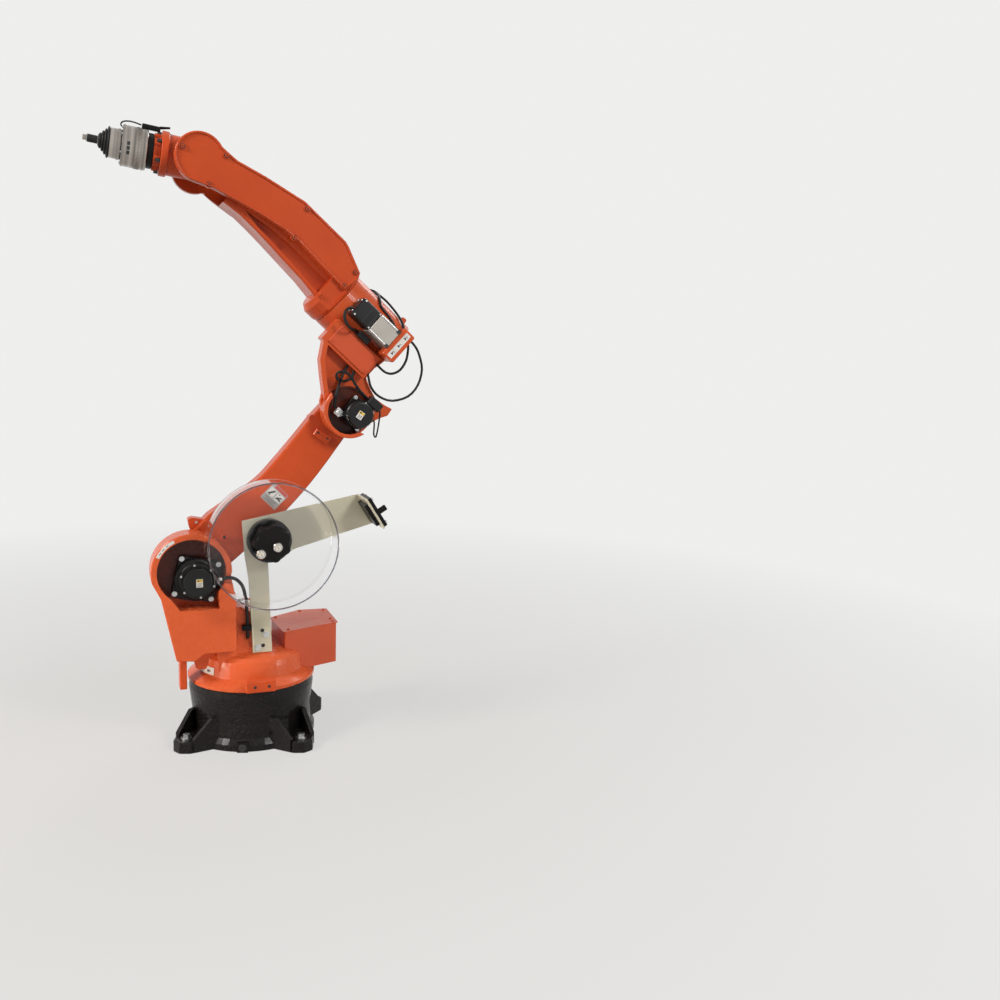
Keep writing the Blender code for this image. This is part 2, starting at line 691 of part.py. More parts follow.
def elbow_casting():
    """Open housing that holds the third motor, the box beside it and the tube of the fourth joint."""
    top = OFFSET - 0.059
    left = [(0.1756, 0.0955), (0.1465, 0.0474), (0.1158, 0.0195), (0.0812, -0.0098),
            (0.0700, -0.0300)]
    right = [(-0.0805, 0.0445), (-0.0927, 0.0650), (-0.0900, 0.0868), (-0.0659, 0.0802),
             (-0.0356, 0.0766), (-0.0069, 0.0865), (0.0200, 0.1000), (0.0200, top)]
    sheet = slab([(0.1756, top)] + left + arc(0, 0, J3_RING, -28, -190, 22)[1:] + right,
                 HOUSING_Y, HOUSING_Y + SHEET_T, 0.002)
    wall = slab([(0.1756, 0.0955), (0.1660, 0.104), (0.137, 0.056), (0.1075, 0.028), (0.062, -0.010),
                 (0.068, -0.022), (0.0812, -0.0098), (0.1158, 0.0195), (0.1465, 0.0474)],
                HOUSING_Y + 0.002, CASE_Y)
    ring = rod((0, HOUSING_Y + 0.003, 0), (0, J3_FACE, 0), J3_RING, 44)
    soften(ring, 0.002)
    barrel = rod((TUBE_BACK, 0, OFFSET), (TUBE_END, 0, OFFSET), TUBE_R, 48)
    soften(barrel, 0.003)
    case = box((CASE_X[0], 0.050, CASE_LOW), (CASE_X[1], CASE_Y, CASE_HIGH))
    bracket = slab(rounded([(BRACKET_X[0], BRACKET_LOW), (BRACKET_X[1], BRACKET_LOW),
                            (BRACKET_X[1], BRACKET_HIGH), (BRACKET_X[0], BRACKET_HIGH)], 0.004, 2),
                   BRACKET_Y[0], BRACKET_Y[1], 0.002)
    ear = slab(rounded([(0.024, OFFSET + 0.070), (0.044, OFFSET + 0.070), (0.042, OFFSET + 0.092),
                        (0.028, OFFSET + 0.094)], 0.004, 2), -0.006, 0.006)
    join(sheet, wall, ring, barrel, case, bracket, ear)
    pocket = rod((0, HOUSING_Y + 0.010, 0), (0, J3_FACE + 0.02, 0), J3_POCKET, 44)
    ledge = CASE_LOW - 0.0015
    opening = slab([(0.054, -0.024), (-0.030, -0.030), (-0.100, -0.008), (-0.120, 0.020),
                    (-0.120, ledge), (0.150, ledge), (0.131, 0.058), (0.103, 0.030),
                    (0.060, -0.004)], HOUSING_Y + SHEET_T + GAP, 0.2)
    cut(sheet, pocket, opening)
    name_part(sheet, "elbow_casting", J3, ORANGE)
    cover = box((CASE_X[0] + 0.005, CASE_Y + GAP, CASE_LOW + 0.007),
                (CASE_X[1] - 0.016, CASE_Y + CASE_COVER_T, CASE_HIGH - 0.005))
    soften(cover, 0.0015)
    name_part(cover, "elbow_side_cover", J3, ORANGE)


def elbow_motor():
    seat = HOUSING_Y + SHEET_T + GAP
    x, z = (-0.021, 0.010)
    motor("j3", J3, (x, z), 0.070, 0, seat, (0.0149, 0.0367, 0.0167), (0.036, 0.0355, 0.033))
    face = seat + GAP + 0.0149
    plug = box((x - 0.034, face + 0.002, z + 0.0365), (x + 0.006, face + 0.034, z + 0.060))
    soften(plug, 0.002)
    name_part(plug, "j3_motor_plug", J3, MOTOR_BLACK)
    second = box((x + 0.0318, face + GAP, z - 0.042), (x + 0.052, face + 0.0165, z - 0.020))
    soften(second, 0.0015)
    name_part(second, "j3_brake_plug", J3, SILVER)


def roll_motor():
    low = ROLL_MOTOR_LOW
    side = ROLL_MOTOR_SIDE
    y = ROLL_MOTOR_Y
    split = 0.114
    end = 0.176
    body = box((BRACKET_X[1] + GAP, y, low), (split, y + side, low + side))
    soften(body, 0.002)
    name_part(body, "roll_motor_body", J3, SILVER)
    encoder = box((split + GAP, y + 0.001, low + 0.001), (end, y + side - 0.001, low + side - 0.001))
    soften(encoder, 0.006, 2)
    name_part(encoder, "roll_motor_encoder", J3, MOTOR_BLACK)
    plug = box((0.084, TUBE_R - 0.004, CASE_HIGH + GAP), (0.122, 0.112, CASE_HIGH + 0.018))
    soften(plug, 0.002)
    name_part(plug, "roll_motor_plug", J3, MOTOR_BLACK)


def elbow_cables():
    """Cables plugged at both ends on the elbow, each with its own hand-chosen route."""
    routes = {
        "j3_motor_cable": (MOTOR_CABLE_R, [
            (0.060, 0.088, 0.0872), (0.056, 0.092, 0.080), (0.055, 0.098, 0.066),
            (0.066, 0.104, 0.047), (0.083, 0.110, 0.040), (0.094, 0.116, 0.050),
            (0.085, 0.120, 0.064), (0.066, 0.122, 0.0675), (0.044, 0.122, 0.061),
            (0.020, 0.117, 0.057), (-0.003, 0.108, 0.057), (-0.0135, 0.105, 0.0575)]),
        "j3_brake_cable": (MOTOR_CABLE_R, [
            (0.080, 0.080, 0.0881), (0.077, 0.082, 0.072), (0.070, 0.086, 0.048),
            (0.062, 0.092, 0.026), (0.052, 0.096, 0.006), (0.042, 0.097, -0.010),
            (0.0340, 0.0965, -0.0195)]),
        "j3_signal_cable": (SIGNAL_CABLE_R, [
            (-0.0568, 0.100, 0.059), (-0.065, 0.100, 0.052), (-0.081, 0.100, 0.030),
            (-0.096, 0.100, 0.006), (-0.099, 0.100, -0.003), (-0.090, 0.100, 0.000),
            (-0.077, 0.100, 0.016), (-0.067, 0.100, 0.0255), (-0.0555, 0.100, 0.0227)]),
        "roll_motor_cable": (MOTOR_CABLE_R, [
            (0.1790, 0.128, 0.198), (0.186, 0.132, 0.192), (0.188, 0.136, 0.177),
            (0.178, 0.138, 0.163), (0.160, 0.136, 0.156), (0.143, 0.126, 0.158),
            (0.134, 0.108, 0.165), (0.1250, 0.100, 0.167)]),
        "short_cable_loop": (SIGNAL_CABLE_R, [
            (0.0284, 0.078, 0.1455), (0.017, 0.078, 0.144), (-0.006, 0.078, 0.145),
            (-0.023, 0.080, 0.155), (-0.032, 0.082, 0.177), (-0.027, 0.084, 0.205),
            (-0.014, 0.086, 0.226), (-0.003, 0.088, 0.238), (0.0072, 0.088, 0.2440)]),
        "long_cable_loop": (SIGNAL_CABLE_R, [
            (0.0282, 0.085, 0.110), (0.018, 0.085, 0.102), (-0.006, 0.083, 0.088),
            (-0.038, 0.082, 0.086), (-0.072, 0.082, 0.102), (-0.096, 0.084, 0.140),
            (-0.095, 0.086, 0.181), (-0.074, 0.088, 0.219), (-0.042, 0.090, 0.241),
            (-0.018, 0.092, 0.2495), (0.0080, 0.092, 0.2515)]),
        "tube_cable_a": (SIGNAL_CABLE_R, [
            (0.150, -0.0345, 0.2843), (0.146, -0.0365, 0.2905), (0.140, -0.012, 0.2950),
            (0.133, 0.018, 0.2920), (0.126, 0.0455, 0.2805), (0.119, 0.060, 0.2690),
            (0.105, 0.0637, 0.2647), (0.085, 0.0657, 0.2622), (0.066, 0.0692, 0.2577),
            (0.0502, 0.0737, 0.2505)]),
        "tube_cable_b": (SIGNAL_CABLE_R, [
            (0.161, -0.0345, 0.2840), (0.160, -0.0375, 0.2905), (0.142, -0.022, 0.3000),
            (0.124, -0.010, 0.3005), (0.101, 0.002, 0.3000), (0.070, 0.022, 0.2930),
            (0.050, 0.042, 0.2840), (0.037, 0.056, 0.2745), (0.030, 0.065, 0.2655),
            (0.028, 0.070, 0.2579)]),
    }
    for name, (radius, route) in routes.items():
        name_part(tube(route, radius), name, J3, CABLE)


# forearm

def forearm_outline():
    """Side view of the forearm cover: head, back edge, end at the tube and lower edge."""
    length = SEAM_TO_WRIST
    top = [(-0.040, 0.057), (-0.067, 0.059), (-0.139, 0.081), (-0.247, 0.108)]
    end = [(-length + 0.091, 0.110), (-length + 0.076, 0.106), (-length + 0.010, 0.078),
           (-length + 0.004, 0.066), (-length + 0.009, 0.016)]
    low = [(-length + 0.025, 0.018), (-0.301, 0.022), (-0.255, 0.018), (-0.186, 0.002),
           (-0.071, -0.032)]
    return arc(0, 0, HEAD_R, 245, 470, 24) + top + end + low


def forearm_lobes():
    """Where the cover's screws sit, inside its edge."""
    length = SEAM_TO_WRIST
    return [(0.044, -0.012), (-0.041, 0.048), (-0.057, -0.034), (-0.262, 0.098),
            (-0.285, 0.022), (-length + 0.021, 0.071), (-length + 0.018, 0.024)]


def forearm_casting():
    length = SEAM_TO_WRIST
    outline = forearm_outline()
    upper = slab(outline, 0.0, SHELL_Y, 0.002)
    core = slab([(-0.060, 0.050), (-0.139, 0.078), (-0.247, 0.102), (-length + 0.091, 0.104),
                 (-length + 0.036, 0.082), (-length + 0.036, -0.047), (-0.373, -0.038),
                 (-0.298, -0.034), (-0.249, -0.031), (-0.201, -0.029), (-0.155, -0.029),
                 (-0.115, -0.034), (-0.064, -0.040)],
                CORE_FAR, CORE_NEAR, 0.004)
    cheek = slab(arc(-0.010, -0.014, 0.055, 205, 440, 22) + [
        (-0.100, 0.056), (-0.150, 0.075), (-0.150, -0.0275), (-0.090, -0.036)],
        CHEEK_FAR, -0.050, 0.003)
    neck = turned([(0, -length), (TUBE_R, -length), (TUBE_R + 0.003, -length + 0.008),
                   (TUBE_R + 0.003, -length + 0.036), (TUBE_R - 0.008, -length + 0.051),
                   (0, -length + 0.056)], (0, 0, 0), (1, 0, 0), 48)
    join(core, cheek, upper, neck)
    throat = box((FORK_FLOOR, -FORK_IN, -0.2), (0.2, FORK_IN, 0.2))
    seat = box((-length + 0.0025, SHELL_Y, -0.2), (0.2, 0.2, 0.2))
    recess = slab([(-0.160, -0.011), (-0.230, 0.001), (-0.300, 0.006), (-length + 0.052, 0.005),
                   (-length + 0.052, -0.032), (-0.340, -0.025), (-0.270, -0.021), (-0.205, -0.0195)],
                  CORE_NEAR - 0.016, CORE_NEAR + 0.010)
    cut(core, throat, seat, recess)
    name_part(core, "forearm_casting", J4, ORANGE)


def forearm_cover():
    """Cast cover with a raised rim and a lobe round each screw."""
    y0 = SHELL_Y + GAP
    y1 = y0 + COVER_PLATE_T
    outline = forearm_outline()
    cover = slab(outline, y0, y1, 0.003)
    cut(cover, slab(inset(outline, RIM_W), y1 - RIM_H, y1 + 0.01, 0.0015))
    for x, z in forearm_lobes():
        join(cover, rod((x, y0 + 0.002, z), (x, y1 + 0.0006, z), LOBE_R, 20))
    name_part(cover, "forearm_cover", J4, ORANGE)


def wrist():
    half = FORK_IN - 0.0005
    body = rod((0, -half, 0), (0, half, 0), 0.046, 40)
    shell = rod((0.0, 0, 0), (FLANGE_REACH - 0.016, 0, 0), WRIST_R, 44)
    collar = rod((FLANGE_REACH - 0.018, 0, 0), (FLANGE_REACH - SEAM, 0, 0), FLANGE_R, 44)
    soften(collar, 0.0015)
    join(body, shell, collar)
    name_part(body, "wrist_housing", J5, ORANGE)


# welding tool

def tool_flange():
    steps = 72
    lobes = []
    for i in range(steps):
        angle = 2 * math.pi * i / steps
        lobe = max(0.0, math.cos(6 * angle)) ** 0.5
        r = FLANGE_R - 0.017 + 0.008 * lobe
        lobes.append((r * math.cos(angle), r * math.sin(angle)))
    flange = plate(lobes, 0, FLANGE_T)
    moved(flange, Matrix.Rotation(math.radians(90), 4, "Y"))
    name_part(flange, "tool_flange", J6, ORANGE)


def tool():
    """Insulator, collision sensor, boot, neck and nozzle, stacked along the axis."""
    tool_flange()
    x = FLANGE_T
    rings = (
        ("insulator_ring", INSULATOR_T, INSULATOR_R, INSULATOR_R, RUBBER),
        ("sensor_base", SENSOR_T, SENSOR_R, SENSOR_R, STEEL),
        ("sensor_head", HEAD_T, SENSOR_HEAD_R, SENSOR_HEAD_R - 0.001, STEEL),
    )
    for name, length, start_r, end_r, material in rings:
        ring = rod((x + GAP, 0, 0), (x + length, 0, 0), start_r, 44, end_r)
        soften(ring, 0.0015)
        name_part(ring, name, J6, material)
        x += length
    r = SENSOR_HEAD_R
    boot = turned([(0, x + GAP), (r, x + GAP), (r, x + 0.004), (r - 0.007, x + 0.006),
                   (r - 0.007, x + 0.010), (r - 0.013, x + 0.012), (r - 0.013, x + 0.016),
                   (r - 0.019, x + 0.018), (r - 0.019, x + 0.022), (r - 0.024, x + BOOT_T),
                   (0, x + BOOT_T)], (0, 0, 0), (1, 0, 0), 32)
    name_part(boot, "torch_boot", J6, RUBBER)
    x += BOOT_T
    neck = rod((x + GAP, 0, 0), (x + NECK_T, 0, 0), 0.0095, 20)
    name_part(neck, "torch_neck", J6, RUBBER)
    x += NECK_T
    nozzle = rod((x + GAP, 0, 0), (x + NOZZLE_T, 0, 0), 0.0060, 20)
    name_part(nozzle, "torch_nozzle", J6, STEEL)


def sensor_plug():
    """Plug lying on the sensor with its boot, and the thin cable to the sensor's front."""
    seat = SENSOR_R + GAP
    height = 0.012
    body = box((0.004, -0.006, seat), (0.047, 0.006, seat + height))
    soften(body, 0.002)
    boot = rod((0.006, 0, FLANGE_R + 0.005), (-0.018, 0, FLANGE_R + 0.010), 0.0036, 16, 0.0026)
    join(body, boot)
    name_part(body, "sensor_plug", J6, RUBBER)
    face = FLANGE_T + INSULATOR_T + SENSOR_T
    route = [(face + 0.0018, 0, 0.0430), (face + 0.0055, 0, 0.0480), (face + 0.001, 0, 0.0550),
             (face - 0.012, 0, 0.0590), (face - 0.028, 0, 0.0585), (0.0484, 0, seat + 0.0075)]
    name_part(tube(route, SENSOR_CABLE_R), "sensor_cable", J6, CABLE)


def main():
    base_casting()
    column_casting()
    skirt_stop()
    hanging_lug()
    rear_box()
    shoulder_motor()
    shoulder_cable()
    spool_bracket()
    feeder_insulators()
    spool_hub()
    spool_cover()
    lower_arm()
    elbow_casting()
    elbow_motor()
    roll_motor()
    elbow_cables()
    forearm_casting()
    forearm_cover()
    wrist()
    tool()
    sensor_plug()


PARTS = bpy.data.collections.new("welding_robot_arm")
clear_scene()
bpy.context.scene.collection.children.link(PARTS)

ORANGE = paint("orange_paint", (0.50, 0.065, 0.022), 0.35)
BLACK_PAINT = paint("black_paint", (0.012, 0.012, 0.013), 0.30)
MOTOR_BLACK = paint("motor_black", (0.015, 0.015, 0.016), 0.45)
RUBBER = paint("black_plastic", (0.014, 0.014, 0.015), 0.5)
GREY_GREEN = paint("grey_green_paint", (0.34, 0.33, 0.26), 0.45)
STEEL = paint("bright_steel", (0.62, 0.60, 0.57), 0.3, 1.0)
SILVER = paint("cast_aluminium", (0.42, 0.36, 0.31), 0.45, 0.6)
CLEAR = paint("clear_plastic", (0.85, 0.84, 0.82), 0.08, 0.0, 0.25)
CABLE = paint("cable_black", (0.012, 0.012, 0.014), 0.5)

J1 = joint_frame("turn_frame", None, (0, 0, 0), "Z", TURN_REST)
J2 = joint_frame("arm_frame", J1, (J2_X, 0, J2_Z), "Y", ARM_TILT)
J3 = joint_frame("elbow_frame", J2, (0, 0, ARM_LENGTH), "Y", ELBOW_REST)
J4 = joint_frame("roll_frame", J3, (FOREARM_REACH, 0, OFFSET), "X", 0.0)
J5 = joint_frame("wrist_frame", J4, (0, 0, 0), "Y", WRIST_REST)
J6 = joint_frame("flange_frame", J5, (FLANGE_REACH, 0, 0), "X", 0.0)

main()
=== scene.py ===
import math

import bmesh
import bpy
from mathutils import Matrix, Vector


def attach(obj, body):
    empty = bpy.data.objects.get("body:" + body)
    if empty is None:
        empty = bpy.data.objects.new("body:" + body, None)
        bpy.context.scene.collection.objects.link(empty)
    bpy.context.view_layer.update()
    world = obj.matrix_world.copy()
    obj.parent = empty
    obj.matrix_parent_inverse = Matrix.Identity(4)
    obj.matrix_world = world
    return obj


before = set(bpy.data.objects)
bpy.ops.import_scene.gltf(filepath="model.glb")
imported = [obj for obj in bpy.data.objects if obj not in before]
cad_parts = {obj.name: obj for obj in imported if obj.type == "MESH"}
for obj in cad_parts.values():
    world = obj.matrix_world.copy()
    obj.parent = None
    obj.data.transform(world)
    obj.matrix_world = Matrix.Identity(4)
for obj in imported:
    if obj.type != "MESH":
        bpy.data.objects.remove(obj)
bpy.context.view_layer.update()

# Joint places of the arm at rest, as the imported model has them.
TURN_REST = 16.5
J2_X, J2_Z = 0.165, 0.477
ARM_TILT = -45.0
ARM_LENGTH = 0.574
ELBOW_REST = 3.0
OFFSET = 0.209
FOREARM_REACH = 0.683
SEAM_TO_WRIST = 0.476
WRIST_REST = 35.0
FLANGE_REACH = 0.088


def turn_y(angle):
    return Matrix.Rotation(math.radians(angle), 4, "Y")


def shift(x, y, z):
    return Matrix.Translation((x, y, z))


def polar(radius, angle):
    """Point at a radius and an angle in radians."""
    return radius * math.cos(angle), radius * math.sin(angle)


BASE = Matrix.Identity(4)
COLUMN = Matrix.Rotation(math.radians(TURN_REST), 4, "Z")
ARM = COLUMN @ shift(J2_X, 0, J2_Z) @ turn_y(ARM_TILT)
ELBOW = ARM @ shift(0, 0, ARM_LENGTH) @ turn_y(ELBOW_REST)
FOREARM = ELBOW @ shift(FOREARM_REACH, 0, OFFSET)
WRIST = FOREARM @ turn_y(WRIST_REST)
TOOL = WRIST @ shift(FLANGE_REACH, 0, 0)
PLACES = {"base": BASE, "column": COLUMN, "lower_arm": ARM, "elbow": ELBOW,
          "forearm": FOREARM, "wrist": WRIST, "tool": TOOL}

# Faces that details sit on, as depths towards the photographed side.
ARM_FACE = 0.0579
ARM_THICK = 0.0529
STOP_FACE = ARM_FACE + 0.012
STRAP_FACE = 0.1043
BLOCK_FACE = 0.168 + 0.016
RIM_FACE = 0.125
COVER_FACE = 0.0803
COVER_LOBE = 0.0809

# Gap between touching pieces, thickness of films and marks, and how far a detail clears its face.
GAP = 0.0003
FILM = 0.0003
INK = 0.00042
CLEAR_OF = 0.0001

# Directions in a link's own frame.
VIEWER = (0, 1, 0)
AWAY = (0, -1, 0)
FORWARD = (1, 0, 0)
UPWARD = (0, 0, 1)

BACKGROUND = (0.86, 0.86, 0.85, 1)


# camera, floor and light

def add_object(name, data):
    made = bpy.data.objects.new(name, data)
    bpy.context.scene.collection.objects.link(made)
    return made


def set_camera():
    """Camera at the photograph's viewing angle."""
    place = (-0.3836, 2.7126, 1.0897)
    lens = 36.36
    pitch = math.radians(9.17)
    roll = math.radians(1.95)
    heading = Vector((-0.1045, -0.9945, 0.0)).normalized()
    ahead = heading * math.cos(pitch) - Vector((0, 0, math.sin(pitch)))
    right = ahead.cross(Vector(UPWARD)).normalized()
    up = right.cross(ahead)
    right, up = (right * math.cos(roll) + up * math.sin(roll),
                 up * math.cos(roll) - right * math.sin(roll))
    data = bpy.data.cameras.new("camera")
    data.lens = lens
    data.sensor_width = 36.0
    data.clip_start = 0.05
    camera = add_object("camera", data)
    pose = Matrix((right, up, -ahead)).transposed().to_4x4()
    pose.translation = place
    camera.matrix_world = pose
    bpy.context.scene.camera = camera


def lamp(name, place, target, size, power, colour=(1, 1, 1), spread=180):
    """Rectangular lamp aimed at a target; its spread is the angle of its beam."""
    data = bpy.data.lights.new(name, "AREA")
    data.shape = "RECTANGLE"
    data.size, data.size_y = size
    data.energy = power
    data.spread = math.radians(spread)
    data.color = colour
    light = add_object(name, data)
    light.location = place
    light.rotation_euler = (Vector(target) - Vector(place)).to_track_quat("-Z", "Y").to_euler()


def background_rays(tree):
    """One for the rays that show the background: straight, mirrored, or through glass."""
    path = add_node(tree, "ShaderNodeLightPath").outputs
    open_rays = sums(tree, "MAXIMUM", path["Is Camera Ray"], path["Is Glossy Ray"])
    return sums(tree, "MAXIMUM", open_rays, path["Is Transmission Ray"])


def mixed_shaders(tree, share, first, second):
    inputs = {0: share, 1: first.outputs[0], 2: second.outputs[0]}
    return add_node(tree, "ShaderNodeMixShader", inputs).outputs[0]


def set_light():
    """Pale backdrop, a soft fill all round, and five lamps."""
    fill_colour, fill_strength = (1.0, 0.97, 0.94, 1), 0.28
    scene = bpy.context.scene
    scene.view_settings.view_transform = "Standard"
    world = bpy.data.worlds.new("studio")
    scene.world = world
    world.use_nodes = True
    tree = world.node_tree
    tree.nodes.clear()
    seen = add_node(tree, "ShaderNodeBackground", {"Color": BACKGROUND})
    fill = add_node(tree, "ShaderNodeBackground", {"Color": fill_colour, "Strength": fill_strength})
    mix = mixed_shaders(tree, background_rays(tree), fill, seen)
    add_node(tree, "ShaderNodeOutputWorld", {"Surface": mix})
    lamp("window", (2.5, 1.7, 3.0), (0, 0, 0.75), (1.0, 1.0), 106, (1.0, 0.965, 0.92))
    lamp("side_fill", (-2.3, 2.1, 2.5), (-0.1, 0, 0.8), (0.8, 0.8), 56)
    lamp("rim", (-1.2, -2.4, 2.8), (0, 0, 1.0), (1.6, 0.9), 24)
    lamp("low_left", (1.45, 1.05, 0.14), (0.1, 0, 0.22), (0.8, 0.3), 2.2, (1.0, 0.88, 0.74), 60)
    lamp("low_right", (-2.3, 0.8, 0.16), (0, 0, 0.2), (0.7, 0.3), 1.1, (1.0, 0.93, 0.84), 60)


def set_floor():
    """Pale floor that keeps the shadow and fades into the backdrop with distance."""
    half = 9
    near, far, near_share = 0.6, 3.2, 0.62
    mesh = bpy.data.meshes.new("floor")
    corners = [(-half, -half, 0), (half, -half, 0), (half, half, 0), (-half, half, 0)]
    mesh.from_pydata(corners, [], [(0, 1, 2, 3)])
    floor = add_object("floor", mesh)
    material, tree, shader = new_material("pale_floor", (0.46, 0.44, 0.41), 0.85)
    glow = add_node(tree, "ShaderNodeEmission", {"Color": BACKGROUND})
    share = ranged(tree, length_of(tree, coordinates(tree)), near, far, near_share, 1.0)
    share = sums(tree, "MULTIPLY", share, background_rays(tree))
    mix = mixed_shaders(tree, share, shader, glow)
    plug(tree, tree.nodes["Material Output"], {"Surface": mix})
    mesh.materials.append(material)


# node helpers, and shader groups that several finishes share

def new_group(name, inputs, outputs):
    """Empty shader group with named sockets; each input's kind follows from its value."""
    kinds = {float: "NodeSocketFloat", 3: "NodeSocketVector", 4: "NodeSocketColor"}
    group = bpy.data.node_groups.new(name, "ShaderNodeTree")
    for label, value in inputs.items():
        kind = kinds[float if isinstance(value, float) else len(value)]
        socket = group.interface.new_socket(label, in_out="INPUT", socket_type=kind)
        socket.default_value = value
    for label, kind in outputs.items():
        group.interface.new_socket(label, in_out="OUTPUT", socket_type="NodeSocket" + kind)
    return group, group.nodes.new("NodeGroupInput"), group.nodes.new("NodeGroupOutput")


def plug(tree, node, inputs):
    """Fill a node's inputs, each with a plain value or from another node's socket."""
    for label, item in inputs.items():
        if isinstance(item, bpy.types.NodeSocket):
            tree.links.new(item, node.inputs[label])
        else:
            node.inputs[label].default_value = item


def add_node(tree, kind, inputs=None, **settings):
    """Add a node, set it up and fill its inputs."""
    node = tree.nodes.new(kind)
    for name, value in settings.items():
        setattr(node, name, value)
    plug(tree, node, inputs or {})
    return node


def noise(tree, vector, scale, detail=2.0, roughness=0.5):
    """Cloudy pattern from nothing to one."""
    inputs = {"Vector": vector, "Scale": scale, "Detail": detail, "Roughness": roughness}
    return add_node(tree, "ShaderNodeTexNoise", inputs).outputs["Fac"]


def ranged(tree, value, low, high, to_low, to_high):
    """Map a value from one range to another, held at the ends."""
    inputs = {"Value": value, "From Min": low, "From Max": high, "To Min": to_low, "To Max": to_high}
    return add_node(tree, "ShaderNodeMapRange", inputs).outputs["Result"]


def sums(tree, operation, *items):
    """One math node, in a shader tree or a geometry tree."""
    inputs = dict(enumerate(items))
    return add_node(tree, "ShaderNodeMath", inputs, operation=operation).outputs[0]


def length_of(tree, vector):
    return add_node(tree, "ShaderNodeVectorMath", {0: vector}, operation="LENGTH").outputs["Value"]


def vector_sum(tree, operation, vector, second):
    inputs = {0: vector, 1: second}
    return add_node(tree, "ShaderNodeVectorMath", inputs, operation=operation).outputs[0]


def split_axes(tree, vector):
    return add_node(tree, "ShaderNodeSeparateXYZ", {0: vector}).outputs


def bumped(tree, height, depth, strength=1.0):
    """Normal of a surface with the given height pattern."""
    inputs = {"Height": height, "Distance": depth, "Strength": strength}
    return add_node(tree, "ShaderNodeBump", inputs).outputs["Normal"]


def blended(tree, factor, first, second):
    """Mix two colours, each a plain colour or a socket."""
    node = add_node(tree, "ShaderNodeMix", {"Factor": factor}, data_type="RGBA")
    for name, item in (("A", first), ("B", second)):
        socket = [s for s in node.inputs if s.name == name and s.type == "RGBA"][0]
        if isinstance(item, tuple):
            socket.default_value = (*item, 1)
        else:
            tree.links.new(item, socket)
    return [s for s in node.outputs if s.type == "RGBA"][0]


def make_surface_grain():
    """Fine skin of a coat or moulding: a normal and a roughness that wanders."""
    group, start, end = new_group(
        "surface_grain",
        {"Vector": (0, 0, 0), "Scale": 400.0, "Depth": 0.0002, "Rough low": 0.3, "Rough high": 0.4},
        {"Normal": "Vector", "Roughness": "Float"})
    get = start.outputs
    fine = noise(group, get["Vector"], get["Scale"], 3.0)
    broad = noise(group, get["Vector"], 9.0, 4.0, 0.6)
    rough = ranged(group, broad, 0.35, 0.65, get["Rough low"], get["Rough high"])
    plug(group, end, {"Normal": bumped(group, fine, get["Depth"], 0.6), "Roughness": rough})
    return group


def make_cast_skin():
    """Lumpy skin of a sand casting under paint, as strong as its amount says."""
    group, start, end = new_group(
        "cast_skin",
        {"Vector": (0, 0, 0), "Scale": 60.0, "Amount": 1.0, "Depth": 0.001},
        {"Normal": "Vector", "Lumps": "Float"})
    get = start.outputs
    lumps = noise(group, get["Vector"], get["Scale"], 5.0, 0.62)
    inputs = {"Vector": get["Vector"], "Scale": sums(group, "MULTIPLY", get["Scale"], 2.6)}
    cells = add_node(group, "ShaderNodeTexVoronoi", inputs, feature="SMOOTH_F1")
    height = sums(group, "MULTIPLY_ADD", cells.outputs["Distance"], 0.45, lumps)
    height = sums(group, "MULTIPLY", height, get["Amount"])
    plug(group, end, {"Normal": bumped(group, height, get["Depth"]), "Lumps": lumps})
    return group


def make_shop_dust():
    """Dust that settles on faces that look up, and a slow drift of the colour."""
    dust_colour = (0.42, 0.38, 0.33)
    group, start, end = new_group(
        "shop_dust",
        {"Vector": (0, 0, 0), "Colour": (1, 1, 1, 1), "Second colour": (1, 1, 1, 1), "Dust": 0.2},
        {"Colour": "Color"})
    get = start.outputs
    drift = noise(group, get["Vector"], 5.5, 4.0, 0.55)
    drift = ranged(group, drift, 0.35, 0.7, 0.0, 1.0)
    tone = blended(group, drift, get["Colour"], get["Second colour"])
    normal = add_node(group, "ShaderNodeNewGeometry").outputs["Normal"]
    upward = ranged(group, split_axes(group, normal)["Z"], 0.45, 1.0, 0.0, 1.0)
    patches = noise(group, get["Vector"], 38.0, 6.0, 0.7)
    patches = ranged(group, patches, 0.42, 0.72, 0.1, 1.0)
    amount = sums(group, "MULTIPLY", upward, patches)
    amount = sums(group, "MULTIPLY", amount, get["Dust"])
    plug(group, end, {"Colour": blended(group, amount, tone, dust_colour)})
    return group


def make_turned_marks():
    """Fine rings that a lathe leaves along the X axis of the given vector, and broad bands for painted
    reflection.
    """
    group, start, end = new_group(
        "turned_marks",
        {"Vector": (0, 0, 0), "Scale": 900.0, "Depth": 0.0001, "Rough low": 0.15, "Rough high": 0.3},
        {"Normal": "Vector", "Roughness": "Float", "Painted reflection bands": "Float"})
    get = start.outputs
    along = {"X": split_axes(group, get["Vector"])["X"]}
    along = add_node(group, "ShaderNodeCombineXYZ", along).outputs[0]
    rings = noise(group, along, get["Scale"], 4.0, 0.7)
    smears = noise(group, get["Vector"], 60.0, 5.0, 0.6)
    rough = ranged(group, smears, 0.3, 0.7, get["Rough low"], get["Rough high"])
    # Broad bands where the colour gets painted reflection.
    bands = noise(group, along, 95.0, 2.0, 0.6)
    bands = ranged(group, bands, 0.38, 0.62, 0.0, 1.0)
    normal = bumped(group, rings, get["Depth"], 0.5)
    plug(group, end, {"Normal": normal, "Roughness": rough, "Painted reflection bands": bands})
    return group


SURFACE_GRAIN = make_surface_grain()
CAST_SKIN = make_cast_skin()
SHOP_DUST = make_shop_dust()
TURNED_MARKS = make_turned_marks()


# finishes

def new_material(name, colour, roughness, metallic=0.0):
    material = bpy.data.materials.new(name)
    material.use_nodes = True
    material.diffuse_color = (*colour, 1)
    tree = material.node_tree
    shader = tree.nodes["Principled BSDF"]
    plug(tree, shader, {"Base Color": (*colour, 1), "Roughness": roughness, "Metallic": metallic})
    return material, tree, shader


